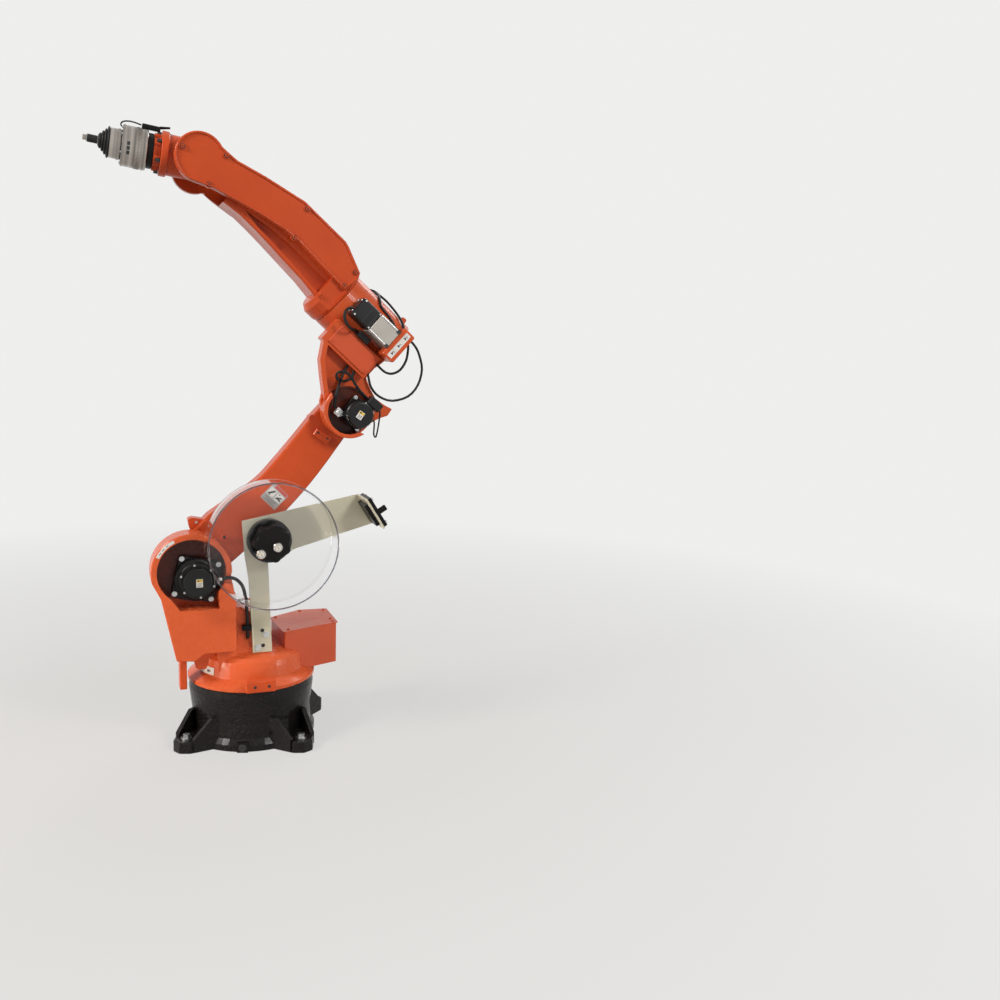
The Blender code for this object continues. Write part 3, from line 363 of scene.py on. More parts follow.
def coordinates(tree, place=None):
    """Object coordinates, measured in one link's own frame where a place is given."""
    source = add_node(tree, "ShaderNodeTexCoord").outputs["Object"]
    if place is None:
        return source
    inputs = {"Vector": source, "Location": place.translation, "Rotation": place.to_euler()}
    return add_node(tree, "ShaderNodeMapping", inputs, vector_type="TEXTURE").outputs["Vector"]


def put_group(tree, group, vector, **values):
    """Place a shader group with its own values; an underscore stands for a space."""
    inputs = {"Vector": vector}
    for name, value in values.items():
        inputs[name.replace("_", " ")] = (*value, 1) if isinstance(value, tuple) else value
    return add_node(tree, "ShaderNodeGroup", inputs, node_tree=group).outputs


def coat(name, colour, second, rough, grain, dust=0.25, varnish=0.0, metallic=0.0, shine=0.5):
    """A painted, moulded or plated finish: drifting colour, dust, and a fine skin."""
    material, tree, shader = new_material(name, colour, rough[0], metallic)
    vector = coordinates(tree)
    tone = put_group(tree, SHOP_DUST, vector, Colour=colour, Second_colour=second, Dust=dust)
    skin = put_group(tree, SURFACE_GRAIN, vector, Scale=grain[0], Depth=grain[1],
                     Rough_low=rough[0], Rough_high=rough[1])
    plug(tree, shader, {"Base Color": tone["Colour"], "Normal": skin["Normal"],
                        "Roughness": skin["Roughness"], "Specular IOR Level": shine,
                        "Coat Weight": varnish, "Coat Roughness": 0.12})
    return material


def film(name, colour, second, dust=0.1, rough=(0.32, 0.42)):
    """Printed sticker film."""
    return coat(name, colour, second, rough, (700.0, 0.00003), dust)


def box_mask(tree, vector, low, high, edge):
    """One inside a box in the given frame, fading to nothing over its edge."""
    axes = split_axes(tree, vector)
    mask = None
    for axis, a, b in zip("XYZ", low, high):
        rise = ranged(tree, axes[axis], a, a + edge, 0.0, 1.0)
        fall = ranged(tree, axes[axis], b - edge, b, 1.0, 0.0)
        part = sums(tree, "MULTIPLY", rise, fall)
        mask = part if mask is None else sums(tree, "MULTIPLY", mask, part)
    return mask


def painted_shade_mask(tree, vector, middle, radius, face):
    """Mask of painted shade: one inside a round hollow along Y, up to the face it opens in."""
    wall_fade, deep, shallow = 0.003, 0.012, 0.001
    shifted = vector_sum(tree, "SUBTRACT", vector, (middle[0], 0, middle[1]))
    flat = vector_sum(tree, "MULTIPLY", shifted, (1, 0, 1))
    inside = ranged(tree, length_of(tree, flat), radius - wall_fade, radius, 1.0, 0.0)
    below = ranged(tree, split_axes(tree, vector)["Y"], face - deep, face - shallow, 1.0, 0.0)
    return sums(tree, "MULTIPLY", inside, below)


def cast_coat(name, tones, rough, varnish, scale, depth, dust, place=None, hollow=None,
              amount=1.0, patch=None, shine=0.16):
    """Enamel over a casting, with painted shade darkening its hollow; a patch keeps the full coarse
    skin to itself.
    """
    colour, second = tones
    material, tree, shader = new_material(name, colour, rough[0])
    vector = coordinates(tree, place)
    tone = put_group(tree, SHOP_DUST, vector, Colour=colour, Second_colour=second, Dust=dust)["Colour"]
    # Painted shade: inside the hollow the tone is darkened towards the shade tone.
    if hollow:
        tone = blended(tree, painted_shade_mask(tree, vector, *hollow), tone, PAINTED_SHADE_TONE)
    if patch:
        amount = ranged(tree, box_mask(tree, vector, *patch), 0.0, 1.0, amount, 1.0)
    skin = put_group(tree, CAST_SKIN, vector, Scale=scale, Depth=depth, Amount=amount)
    roughness = ranged(tree, skin["Lumps"], 0.35, 0.65, rough[0], rough[1])
    plug(tree, shader, {"Base Color": tone, "Normal": skin["Normal"], "Roughness": roughness,
                        "Specular IOR Level": shine, "Coat Weight": varnish, "Coat Roughness": 0.1})
    return material


def turned_metal(name, colour, rough, place, scale=700.0, depth=0.00012, reflection_band_share=0.40):
    """Bare metal off a lathe, its rings, and darker bands of painted reflection across the place's X
    axis.
    """
    material, tree, shader = new_material(name, colour, rough[0], 1.0)
    marks = put_group(tree, TURNED_MARKS, coordinates(tree, place), Scale=scale, Depth=depth,
                      Rough_low=rough[0], Rough_high=rough[1])
    # Painted reflection: darker bands in the colour stand in for the dark and bright reflections round
    # turned metal.
    tone = blended(tree, marks["Painted reflection bands"], colour, tuple(c * reflection_band_share for c in colour))
    plug(tree, shader, {"Base Color": tone, "Normal": marks["Normal"], "Roughness": marks["Roughness"]})
    return material


def clear_plastic(name, tint, roughness):
    """Clear sheet, faintly wavy; a low index keeps what is behind it in place."""
    material, tree, shader = new_material(name, tint, roughness)
    skin = put_group(tree, SURFACE_GRAIN, coordinates(tree), Scale=26.0, Depth=0.0003,
                     Rough_low=roughness, Rough_high=roughness + 0.03)
    plug(tree, shader, {"Transmission Weight": 1.0, "IOR": 1.3, "Normal": skin["Normal"],
                        "Roughness": skin["Roughness"]})
    return material


# Tones are a main and a second colour, a patch is two corners and an edge,
# a hollow is its middle as (x, z), its radius and the face it opens in.
# Inside a hollow the enamel is darkened by painted shade.
FOREARM_TONES = (0.565, 0.076, 0.0185), (0.49, 0.063, 0.0150)
# Painted light: the column's enamel is lighter and yellower than the forearm's, standing in for light
# falling on the lower column.
LIT_COLUMN_TONES = (0.63, 0.104, 0.0290), (0.55, 0.086, 0.0235)
ELBOW_TONES = (0.60, 0.090, 0.0235), (0.52, 0.074, 0.0190)
BOX_TONES = (0.565, 0.078, 0.0220), (0.485, 0.064, 0.0180)
BASE_TONES = (0.0052, 0.0042, 0.0042), (0.0092, 0.0072, 0.0068)
# Painted shade: deep brown-red that stands in for the shade inside the motor pocket and the elbow's
# recess.
PAINTED_SHADE_TONE = (0.085, 0.014, 0.0065)
GLOSS = (0.22, 0.34)
ROUGH_PATCH = (-0.036, 0.02, 0.245), (0.056, 0.12, 0.385), 0.004
# The two hollows that get painted shade.
MOTOR_POCKET = (J2_X, J2_Z), 0.087, 0.125
ELBOW_RECESS = (0, 0), 0.0665, 0.107

ORANGE = coat("orange_enamel", *FOREARM_TONES, GLOSS, (230.0, 0.00005), 0.05, varnish=0.12, shine=0.12)
ORANGE_CAST = cast_coat("orange_cast_enamel", LIT_COLUMN_TONES, GLOSS, 0.18, 85.0, 0.0035, 0.06,
                        COLUMN, MOTOR_POCKET, 0.06, ROUGH_PATCH)
ORANGE_ELBOW = cast_coat("orange_elbow_enamel", ELBOW_TONES, GLOSS, 0.12, 85.0, 0.0035, 0.06,
                         ELBOW, ELBOW_RECESS, 0.06)
ORANGE_SHEET = coat("orange_box_enamel", *BOX_TONES, (0.30, 0.42), (420.0, 0.00006), 0.16,
                    varnish=0.1, shine=0.28)
BLACK_CAST = cast_coat("black_cast_enamel", BASE_TONES, (0.12, 0.26), 0.28, 64.0, 0.0070, 0.02,
                       shine=0.06)
MOTOR_BLACK = coat("motor_black", (0.008, 0.008, 0.0085), (0.013, 0.013, 0.013), (0.26, 0.42),
                   (900.0, 0.00006), 0.03, shine=0.25)
BLACK_PLASTIC = coat("black_moulding", (0.0058, 0.0052, 0.0052), (0.009, 0.0084, 0.0084), (0.24, 0.4),
                     (1300.0, 0.00004), 0.04, shine=0.13)
BLACK_RUBBER = coat("black_bellows", (0.008, 0.0078, 0.0078), (0.014, 0.0135, 0.013), (0.40, 0.58),
                    (1500.0, 0.00005), 0.05, shine=0.25)
CABLE_JACKET = coat("cable_jacket", (0.007, 0.007, 0.0075), (0.012, 0.0115, 0.0115), (0.36, 0.5),
                    (1800.0, 0.00003), 0.04, shine=0.25)
GREY_GREEN = coat("grey_green_enamel", (0.545, 0.51, 0.385), (0.48, 0.45, 0.335), (0.36, 0.5),
                  (650.0, 0.00008), 0.12, varnish=0.12)
MOTOR_SILVER = coat("silver_motor_shell", (0.42, 0.39, 0.355), (0.36, 0.335, 0.30), (0.32, 0.44),
                    (1100.0, 0.00006), 0.1, metallic=0.55)
STEEL = turned_metal("turned_steel", (0.47, 0.425, 0.385), (0.10, 0.26), TOOL)
ZINC = coat("zinc_plate", (0.66, 0.66, 0.65), (0.52, 0.52, 0.52), (0.2, 0.4), (1500.0, 0.00005),
            0.05, metallic=1.0)
BLACK_OXIDE = coat("black_oxide", (0.035, 0.035, 0.037), (0.055, 0.053, 0.052), (0.28, 0.42),
                   (1500.0, 0.00005), 0.08, metallic=0.7)
# Painted shade: near-black for open holes, the gaps round screw heads and the bottoms of their sockets.
PAINTED_SHADE_BLACK = coat("painted_shade_black", (0.006, 0.006, 0.006), (0.010, 0.010, 0.010), (0.6, 0.75),
                 (900.0, 0.00005), 0.0)
WHITE_LABEL = film("white_film", (0.72, 0.71, 0.68), (0.62, 0.61, 0.57), 0.15)
GREY_LABEL = film("grey_film", (0.42, 0.40, 0.38), (0.36, 0.35, 0.33))
YELLOW_LABEL = film("yellow_film", (0.68, 0.47, 0.05), (0.60, 0.40, 0.05))
RED_LABEL = film("red_film", (0.52, 0.055, 0.045), (0.45, 0.05, 0.04))
BLACK_INK = film("black_film", (0.013, 0.013, 0.013), (0.02, 0.02, 0.02), 0.05, (0.36, 0.5))
CLEAR = clear_plastic("clear_cover", (0.97, 0.97, 0.98), 0.03)
CLEAR_EDGE = clear_plastic("clear_cut_edge", (0.80, 0.79, 0.88), 0.12)

CAD_FINISH = (
    (BLACK_CAST, "base_casting"), (ORANGE_CAST, "column_casting"), (ORANGE_ELBOW, "elbow_casting"),
    (ORANGE_SHEET, "rear_box rear_box_lid elbow_side_cover"), (GREY_GREEN, "spool_bracket"),
    (CLEAR, "spool_cover"), (MOTOR_SILVER, "roll_motor_body"), (ZINC, "j3_brake_plug"),
    (STEEL, "spool_clamp_nut_a spool_clamp_nut_b sensor_base sensor_head torch_nozzle"),
    (BLACK_RUBBER, "torch_boot torch_neck"),
    (BLACK_PLASTIC, "spool_hub_disc spool_hub_knob feeder_insulator_plate feeder_insulator_inner "
                    "feeder_stub insulator_ring cable_clamp sensor_plug"),
)


def finish_of(name):
    """Finish of a carried-over node: by its own name, or else by its kind."""
    for finish, names in CAD_FINISH:
        if name in names.split():
            return finish
    if "cable" in name:
        return CABLE_JACKET
    return MOTOR_BLACK if "motor" in name or "plug" in name else ORANGE


def finish_cad_nodes():
    """Every carried-over node gets its own finish in its material slots."""
    for name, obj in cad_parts.items():
        obj.data.materials.clear()
        obj.data.materials.append(finish_of(name))


# pieces


def add_piece(name, bm, body, materials, smooth=35.0):
    """Put a shape made in a link's own frame onto that link."""
    bmesh.ops.remove_doubles(bm, verts=bm.verts, dist=0.000002)
    bmesh.ops.recalc_face_normals(bm, faces=bm.faces)
    bmesh.ops.transform(bm, matrix=PLACES[body], verts=bm.verts)
    mesh = bpy.data.meshes.new(name)
    bm.to_mesh(mesh)
    bm.free()
    ride_mesh(name, mesh, body, materials, smooth)


def ride_mesh(name, mesh, body, materials, smooth=35.0):
    """Make a piece of a mesh: its finishes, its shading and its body."""
    for material in materials:
        mesh.materials.append(material)
    mesh.shade_smooth()
    mesh.set_sharp_from_angle(angle=math.radians(smooth))
    piece = add_object(name, mesh)
    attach(piece, body)


def facing(point, out):
    """Place whose Z runs along the outward direction at a point."""
    turn = Vector(out).normalized().to_track_quat("Z", "Y").to_matrix().to_4x4()
    return Matrix.Translation(point) @ turn


def towards_viewer(x, z, y, spin=0.0):
    """Place on a face that looks towards +Y: local X runs along -X, local Y runs up."""
    turn = Matrix(((-1, 0, 0), (0, 0, 1), (0, 1, 0))).to_4x4()
    return Matrix.Translation((x, y, z)) @ turn @ Matrix.Rotation(math.radians(spin), 4, "Z")


def lathe(bm, profile, place, segments=32, index=0):
    """Turn a closed profile of (radius, height) about the Z axis of a place."""
    rings = []
    for radius, height in profile:
        spots = [polar(radius, 2 * math.pi * i / segments) for i in range(segments)]
        if radius < 1e-6:
            spots = [(0, 0)]
        rings.append([bm.verts.new(place @ Vector((x, y, height))) for x, y in spots])
    for low, high in zip(rings, rings[1:] + rings[:1]):
        if len(low) == 1 and len(high) == 1:
            continue
        for i in range(segments):
            j = (i + 1) % segments
            corners = [low[i % len(low)], low[j % len(low)], high[j % len(high)], high[i % len(high)]]
            bm.faces.new(list(dict.fromkeys(corners))).material_index = index


def prism(bm, outline, place, low, high, index=0):
    """Plate with the given outline, between two heights over a place."""
    rings = [[bm.verts.new(place @ Vector((x, y, h))) for x, y in outline] for h in (low, high)]
    faces = [rings[0][::-1], rings[1]]
    for i in range(len(outline)):
        j = (i + 1) % len(outline)
        faces.append((rings[0][i], rings[0][j], rings[1][j], rings[1][i]))
    for corners in faces:
        bm.faces.new(corners).material_index = index


def rectangle(cx, cy, width, height, corner=0.0, turn=0.0):
    """Outline of a rectangle, its corners rounded, turned about its middle by degrees."""
    half_w, half_h = width / 2 - corner, height / 2 - corner
    steps = 4 if corner else 1
    points = []
    for k, (sx, sy) in enumerate(((1, 1), (-1, 1), (-1, -1), (1, -1))):
        for i in range(steps):
            x, y = polar(corner, math.pi / 2 * (k + (i / (steps - 1) if corner else 0)))
            points.append((sx * half_w + x, sy * half_h + y))
    c, s = polar(1.0, math.radians(turn))
    return [(cx + x * c - y * s, cy + x * s + y * c) for x, y in points]


def strip(bm, rows, index=0):
    """Solid bent strip through rows of four corners each, closed at both ends."""
    for a, b in zip(rows, rows[1:]):
        for i, j in ((0, 1), (1, 3), (3, 2), (2, 0)):
            bm.faces.new((a[i], a[j], b[j], b[i])).material_index = index
    for row in (rows[0], rows[-1]):
        bm.faces.new((row[0], row[1], row[3], row[2])).material_index = index


def cylinder_profile(radius, height, bevel):
    return [(0, 0), (radius, 0), (radius, height - bevel), (radius - bevel, height), (0, height)]


def hoop_profile(inner, outer, low, high):
    return [(inner, low), (outer, low), (outer, high), (inner, high)]


def bead_profile(radius, wide, tall):
    """Rolled bead at a radius, with eight sides."""
    turns = [polar(1.0, 2 * math.pi * i / 8) for i in range(8)]
    return [(radius + wide * x, tall * y) for x, y in turns]


def ring_of(count, radius, start=0.0, centre=(0.0, 0.0)):
    """Points round a centre, the first one at the start angle in degrees."""
    spots = [polar(radius, math.radians(start) + 2 * math.pi * i / count) for i in range(count)]
    return [(centre[0] + x, centre[1] + y) for x, y in spots]


def face_ring(count, radius, start, centre, face):
    """The same ring on a face square to Y, its centre given as (x, z)."""
    return [(x, face, z) for x, z in ring_of(count, radius, start, centre)]


def end_ring(count, radius, start, face):
    """The same ring on an end face square to X, round the link's own axis."""
    return [(face, y, z) for y, z in ring_of(count, radius, start)]


def hole_shade_discs(name, body, spots, radius, segments=20):
    """Open round holes, drawn as thin discs of painted shade on a face towards the viewer."""
    bm = bmesh.new()
    for spot in spots:
        lathe(bm, cylinder_profile(radius, FILM, 0.0001), facing(spot, VIEWER), segments)
    add_piece(name, bm, body, [PAINTED_SHADE_BLACK])


# repeats made with geometry nodes

def new_tree(name, inputs):
    """Geometry tree that takes a shape and the named inputs, and gives a shape."""
    tree = bpy.data.node_groups.new(name, "GeometryNodeTree")
    for label, kind in {"Geometry": "Geometry", **inputs}.items():
        tree.interface.new_socket(label, in_out="INPUT", socket_type="NodeSocket" + kind)
    tree.interface.new_socket("Geometry", in_out="OUTPUT", socket_type="NodeSocketGeometry")
    return tree, tree.nodes.new("NodeGroupInput"), tree.nodes.new("NodeGroupOutput")


def raised(tree, geometry, height):
    """Lift a shape along its own Z."""
    lift = add_node(tree, "ShaderNodeCombineXYZ", {"Z": height}).outputs[0]
    inputs = {"Geometry": geometry, "Translation": lift}
    return add_node(tree, "GeometryNodeTransform", inputs).outputs["Geometry"]


def disc(tree, sides, radius, depth):
    """Solid round or many-sided block, its foot at height zero."""
    inputs = {"Vertices": sides, "Radius": radius, "Depth": depth}
    mesh = add_node(tree, "GeometryNodeMeshCylinder", inputs).outputs["Mesh"]
    return raised(tree, mesh, sums(tree, "MULTIPLY", depth, 0.5))


def spread_out(tree, points, shape, direction, axis, material, end):
    """The shape at every point, its axis turned into a direction, as plain painted mesh."""
    align = add_node(tree, "FunctionNodeAlignRotationToVector", {"Vector": direction}, axis=axis)
    inputs = {"Points": points, "Instance": shape, "Rotation": align.outputs["Rotation"]}
    spread = add_node(tree, "GeometryNodeInstanceOnPoints", inputs)
    inputs = {"Geometry": spread.outputs["Instances"]}
    realize = add_node(tree, "GeometryNodeRealizeInstances", inputs)
    inputs = {"Geometry": realize.outputs["Geometry"], "Material": material}
    paint = add_node(tree, "GeometryNodeSetMaterial", inputs)
    plug(tree, end, {"Geometry": paint.outputs["Geometry"]})


def make_screw_tree():
    """A screw with its socket and washer at every point, looking along the point's direction."""
    socket_floor, socket_sides, washer_sides = 0.45, 6, 24
    tree, start, end = new_tree("screws", {
        "Head sides": "Int", "Head radius": "Float", "Head height": "Float",
        "Socket radius": "Float", "Washer radius": "Float", "Washer height": "Float",
        "Finish": "Material"})
    get = start.outputs
    head = disc(tree, get["Head sides"], get["Head radius"], get["Head height"])
    floor = sums(tree, "MULTIPLY", get["Head height"], socket_floor)
    socket = raised(tree, disc(tree, socket_sides, get["Socket radius"], get["Head height"]), floor)
    inputs = {"Mesh 1": head, "Mesh 2": socket}
    carve = add_node(tree, "GeometryNodeMeshBoolean", inputs, operation="DIFFERENCE")
    washer = disc(tree, washer_sides, get["Washer radius"], get["Washer height"])
    both = add_node(tree, "GeometryNodeJoinGeometry", {"Geometry": washer})
    plug(tree, both, {"Geometry": raised(tree, carve.outputs["Mesh"], get["Washer height"])})
    way = add_node(tree, "GeometryNodeInputNamedAttribute", {"Name": "out"}, data_type="FLOAT_VECTOR")
    spread_out(tree, get["Geometry"], both.outputs["Geometry"], way.outputs["Attribute"], "Z",
               get["Finish"], end)
    return tree


def make_fin_tree():
    """A ring of cooling fins standing out from a round motor shell, its axis along Z."""
    tree, start, end = new_tree("fins", {
        "Count": "Int", "Radius": "Float", "Fin size": "Vector", "Finish": "Material"})
    get = start.outputs
    inputs = {"Vertices": get["Count"], "Radius": get["Radius"]}
    circle = add_node(tree, "GeometryNodeMeshCircle", inputs)
    fin = add_node(tree, "GeometryNodeMeshCube", {"Size": get["Fin size"]})
    here = add_node(tree, "GeometryNodeInputPosition")
    spread_out(tree, circle.outputs["Mesh"], fin.outputs["Mesh"], here.outputs[0], "X",
               get["Finish"], end)
    return tree


def grow(name, tree, mesh, values, body, place, material):
    """Run a tree on a mesh of points and keep the plain result on one body."""
    seed = add_object(name, mesh)
    modifier = seed.modifiers.new("grow", "NODES")
    modifier.node_group = tree
    for item in tree.interface.items_tree:
        if item.item_type == "SOCKET" and item.in_out == "INPUT" and item.name in values:
            modifier[item.identifier] = values[item.name]
    seen = seed.evaluated_get(bpy.context.evaluated_depsgraph_get())
    grown = bpy.data.meshes.new_from_object(seen)
    bpy.data.objects.remove(seed, do_unlink=True)
    grown.name = name
    grown.transform(PLACES[body] @ place)
    grown.materials.clear()
    ride_mesh(name, grown, body, [material], 30.0)


SCREW_TREE = make_screw_tree()
FIN_TREE = make_fin_tree()


def screws(name, body, points, radius, material, out=VIEWER, height=None, socket=0.5,
           washer=1.0, washer_height=0.0004, sides=24):
    """Screws that all look one way; socket and washer are shares of the head's radius."""
    mesh = bpy.data.meshes.new(name)
    mesh.from_pydata(points, [], [])
    ways = mesh.attributes.new("out", "FLOAT_VECTOR", "POINT")
    for way in ways.data:
        way.vector = Vector(out).normalized()
    values = {"Head sides": sides, "Head radius": radius,
              "Head height": radius * 0.9 if height is None else height,
              "Socket radius": radius * socket, "Washer radius": radius * washer,
              "Washer height": washer_height, "Finish": material}
    grow(name, SCREW_TREE, mesh, values, body, Matrix.Identity(4), material)


def fins(name, body, place, count, radius, size, material):
    """Fins or knurls in a ring round a place."""
    values = {"Count": count, "Radius": radius, "Fin size": size, "Finish": material}
    grow(name, FIN_TREE, bpy.data.meshes.new(name), values, body, place, material)


# base

def dress_base():
    """Anchor bolts in the four feet, and the plug in the pad on the viewer's side."""
    half, corner_cut, bolt_inset, foot_top = 0.177, 0.012, 0.031, 0.030
    reach = half * math.sqrt(2) - corner_cut - bolt_inset
    points = [(x, y, foot_top) for x, y in ring_of(4, reach, 45)]
    screws("anchor_bolts", "base", points, 0.0092, ZINC, UPWARD, 0.0090, 0.40, 1.6, 0.0024, 6)
    bm = bmesh.new()
    lathe(bm, cylinder_profile(0.010, 0.0016, 0.0004), facing((0, 0.1752, 0.013), VIEWER), 28)
    add_piece("pad_plug", bm, "base", [BLACK_OXIDE])


# column

def dress_pocket_motor():
    """Fins, screws, cap band and label of the second joint's motor in its pocket."""
    cx, cz = J2_X - 0.015, J2_Z - 0.027
    flange_face, fin_middle, body_face, cap_face = 0.0838, 0.0912, 0.1101, 0.1274
    points = face_ring(4, 0.0655, 57, (cx, cz), flange_face)
    screws("shoulder_motor_flange_screws", "column", points, 0.0052, ZINC, washer=1.3)
    points = face_ring(6, 0.0428, 20, (cx, cz), body_face)
    screws("shoulder_motor_cap_screws", "column", points, 0.0026, ZINC)
    fins("shoulder_motor_fins", "column", facing((cx, fin_middle, cz), VIEWER), 60, 0.0535,
         (0.0060, 0.0016, 0.0136), BLACK_OXIDE)
    place = towards_viewer(cx - 0.003, cz - 0.001, cap_face + CLEAR_OF)
    motor_label("shoulder_motor_label", "column", place)
    bm = bmesh.new()
    place = facing((cx, body_face + CLEAR_OF, cz), VIEWER)
    lathe(bm, [(0.0374, 0), (0.0396, 0), (0.0392, 0.0040), (0.0374, 0.0040)], place, 48)
    add_piece("shoulder_motor_cap_band", bm, "column", [MOTOR_BLACK])


def motor_label(name, body, place):
    """Small rating film, half white and half yellow, with plain bars and no lettering."""
    bar_top, mark_top = 0.0004, 0.0005
    bm = bmesh.new()
    prism(bm, rectangle(0, 0, 0.016, 0.021, 0.001), place, 0, FILM)
    prism(bm, rectangle(0, 0.0062, 0.0145, 0.0068), place, FILM, INK, 1)
    prism(bm, rectangle(-0.003, 0.0062, 0.0045, 0.0035), place, INK, mark_top, 2)
    for i in range(3):
        bar = rectangle(0, -0.0010 - 0.0032 * i, 0.0115 - 0.002 * (i % 2), 0.0012)
        prism(bm, bar, place, FILM, bar_top, 2)
    add_piece(name, bm, body, [WHITE_LABEL, YELLOW_LABEL, BLACK_INK])


def skirt_film():
    """Film bent round the tapering skirt: white ground with a few small plain marks."""
    turn, span = 2, 36
    foot, rise = 0.1895, 0.0190
    radius, taper = 0.1414, -0.0028
    sunk, ground, ink = -0.0006, 0.0004, 0.0006
    marks = [(0.14, 0.05, 0.35, 0.6), (0.40, 0.04, 0.25, 0.75), (0.47, 0.02, 0.3, 0.5),
             (0.72, 0.07, 0.3, 0.62), (0.82, 0.04, 0.35, 0.6)]
    bm = bmesh.new()
    layers = [(0.0, 1.0, 0.0, 1.0, ground, 0)] + [(*mark, ink, 1) for mark in marks]
    for at, width, low, high, top, index in layers:
        steps = max(2, int(span * width / 2))
        rows = []
        for i in range(steps + 1):
            angle = math.radians(turn + span * (at + width * i / steps))
            row = []
            for proud in (sunk, top):
                for share in (low, high):
                    x, y = polar(radius + taper * share + proud, angle)
                    row.append(bm.verts.new((x, y, foot + rise * share)))
            rows.append(row)
        strip(bm, rows, index)
    add_piece("skirt_film", bm, "column", [WHITE_LABEL, BLACK_INK])


def dress_column():
    dress_pocket_motor()
    # strap bolts, and the open slots beside them drawn as discs of painted shade
    points = [(-0.0225, STRAP_FACE, 0.295), (-0.0005, STRAP_FACE, 0.2605)]
    screws("strap_bolts", "column", points, 0.0062, ZINC, socket=0.52, washer=1.35, washer_height=0.001)
    spots = [(-0.0125, STRAP_FACE, 0.3065), (-0.0145, STRAP_FACE, 0.2655)]
    hole_shade_discs("strap_slots", "column", spots, 0.0052)
    # holes in the stop block on the skirt, drawn as discs of painted shade
    spots = [(-0.017, BLOCK_FACE, 0.1795), (0.0185, BLOCK_FACE, 0.1795)]
    hole_shade_discs("stop_block_holes", "column", spots, 0.0040)
    # screws round the edge of the rear box's lid
    box_top, lid_thickness = 0.2895, 0.0027
    lid = box_top + GAP + lid_thickness
    spots = [(-0.219, 0.020), (-0.219, -0.006), (-0.088, 0.066), (-0.219, -0.100), (-0.152, -0.106),
             (-0.075, -0.060)]
    points = [(x, y, lid) for x, y in spots]
    screws("box_lid_screws", "column", points, 0.0038, ORANGE_SHEET, UPWARD, 0.0022, washer=1.2)
    rim_film()
    skirt_film()
    hub_labels()
    # bead on the open end of the clear cover
    bm = bmesh.new()
    lathe(bm, bead_profile(0.1616, 0.0022, 0.0022), facing((-0.029, 0.2056, 0.550), VIEWER), 96)
    add_piece("cover_edge_bead", bm, "column", [CLEAR_EDGE], 60)
    gland("shoulder_cable_gland", "column", (0.1006, 0.1195, 0.4541), (-0.011, 0.0005, 0.002),
          0.0068, 0.010)
    bracket_bolts()


def rim_film():
    """Curved film on the front face of the pocket's rim, with three plain bars."""
    turn, span, steps, ground = 27, 36, 14, 0.0004

    def spot(radius, share):
        x, z = polar(radius, math.radians(turn + span * share))
        return J2_X + x, J2_Z + z

    bm = bmesh.new()
    rows = []
    for i in range(steps + 1):
        edges = [spot(radius, i / steps) for radius in (0.0875, 0.0958)]
        rows.append([bm.verts.new((x, y, z)) for y in (RIM_FACE, RIM_FACE + ground) for x, z in edges])
    strip(bm, rows)
    for share in (0.2, 0.42, 0.66):
        place = towards_viewer(*spot(0.0916, share), RIM_FACE + ground, 90 - turn - span * share)
        prism(bm, rectangle(0, 0, 0.0062, 0.0018), place, 0, 0.0002, 1)
    add_piece("rim_film", bm, "column", [WHITE_LABEL, BLACK_INK])


def hub_labels():
    """Round films on the two bright clamp nuts: a dark ring and two slanting bars."""
    seat, stack, mark_top = 0.1046, (0.026, 0.003, 0.036, 0.010), 0.0005
    face = seat + sum(stack) + GAP * len(stack)
    bm = bmesh.new()
    for x, z in ((0.001, 0.527), (-0.041, 0.543)):
        place = towards_viewer(x, z, face + CLEAR_OF)
        lathe(bm, cylinder_profile(0.0098, FILM, 0.0001), place, 32)
        lathe(bm, hoop_profile(0.0072, 0.0079, FILM, mark_top), place, 32, 2)
        prism(bm, rectangle(-0.0012, 0.0022, 0.0062, 0.0020, 0, -30), place, FILM, mark_top, 1)
        prism(bm, rectangle(0.0010, -0.0024, 0.0050, 0.0012, 0, -30), place, FILM, mark_top, 2)
    add_piece("clamp_nut_films", bm, "column", [WHITE_LABEL, YELLOW_LABEL, BLACK_INK])


def gland(name, body, point, way, radius, length):
    """Threaded collar where a cable meets its plug or housing."""
    inner = radius * 0.64
    shares = [(0.92, 0), (1, 0.12), (1, 0.55), (0.84, 0.62), (0.84, 0.9), (0.74, 1)]
    outer = [(radius * wide, length * along) for wide, along in shares]
    bm = bmesh.new()
    lathe(bm, [(inner, 0), *outer, (inner, length)], facing(point, way), 24)
    add_piece(name, bm, body, [ZINC])


def bracket_bolts():
    """Small bolts through the insulating plates at the slanting end of the bracket arm."""
    top, low = Vector((-0.263, 0.662)), Vector((-0.312, 0.584))
    half_pitch, plate_face = 0.036, 0.014
    down = (low - top).normalized()
    out = Vector((down.y, -down.x))
    points = []
    for along in (-half_pitch, half_pitch):
        spot = (top + low) / 2 + down * along + out * plate_face
        points += [(spot.x, y, spot.y) for y in (0.1283, 0.1883)]
    screws("insulator_bolts", "column", points, 0.0042, ZINC, (out.x, 0, out.y), 0.0035,
           washer=1.35, washer_height=0.0008)


# lower arm

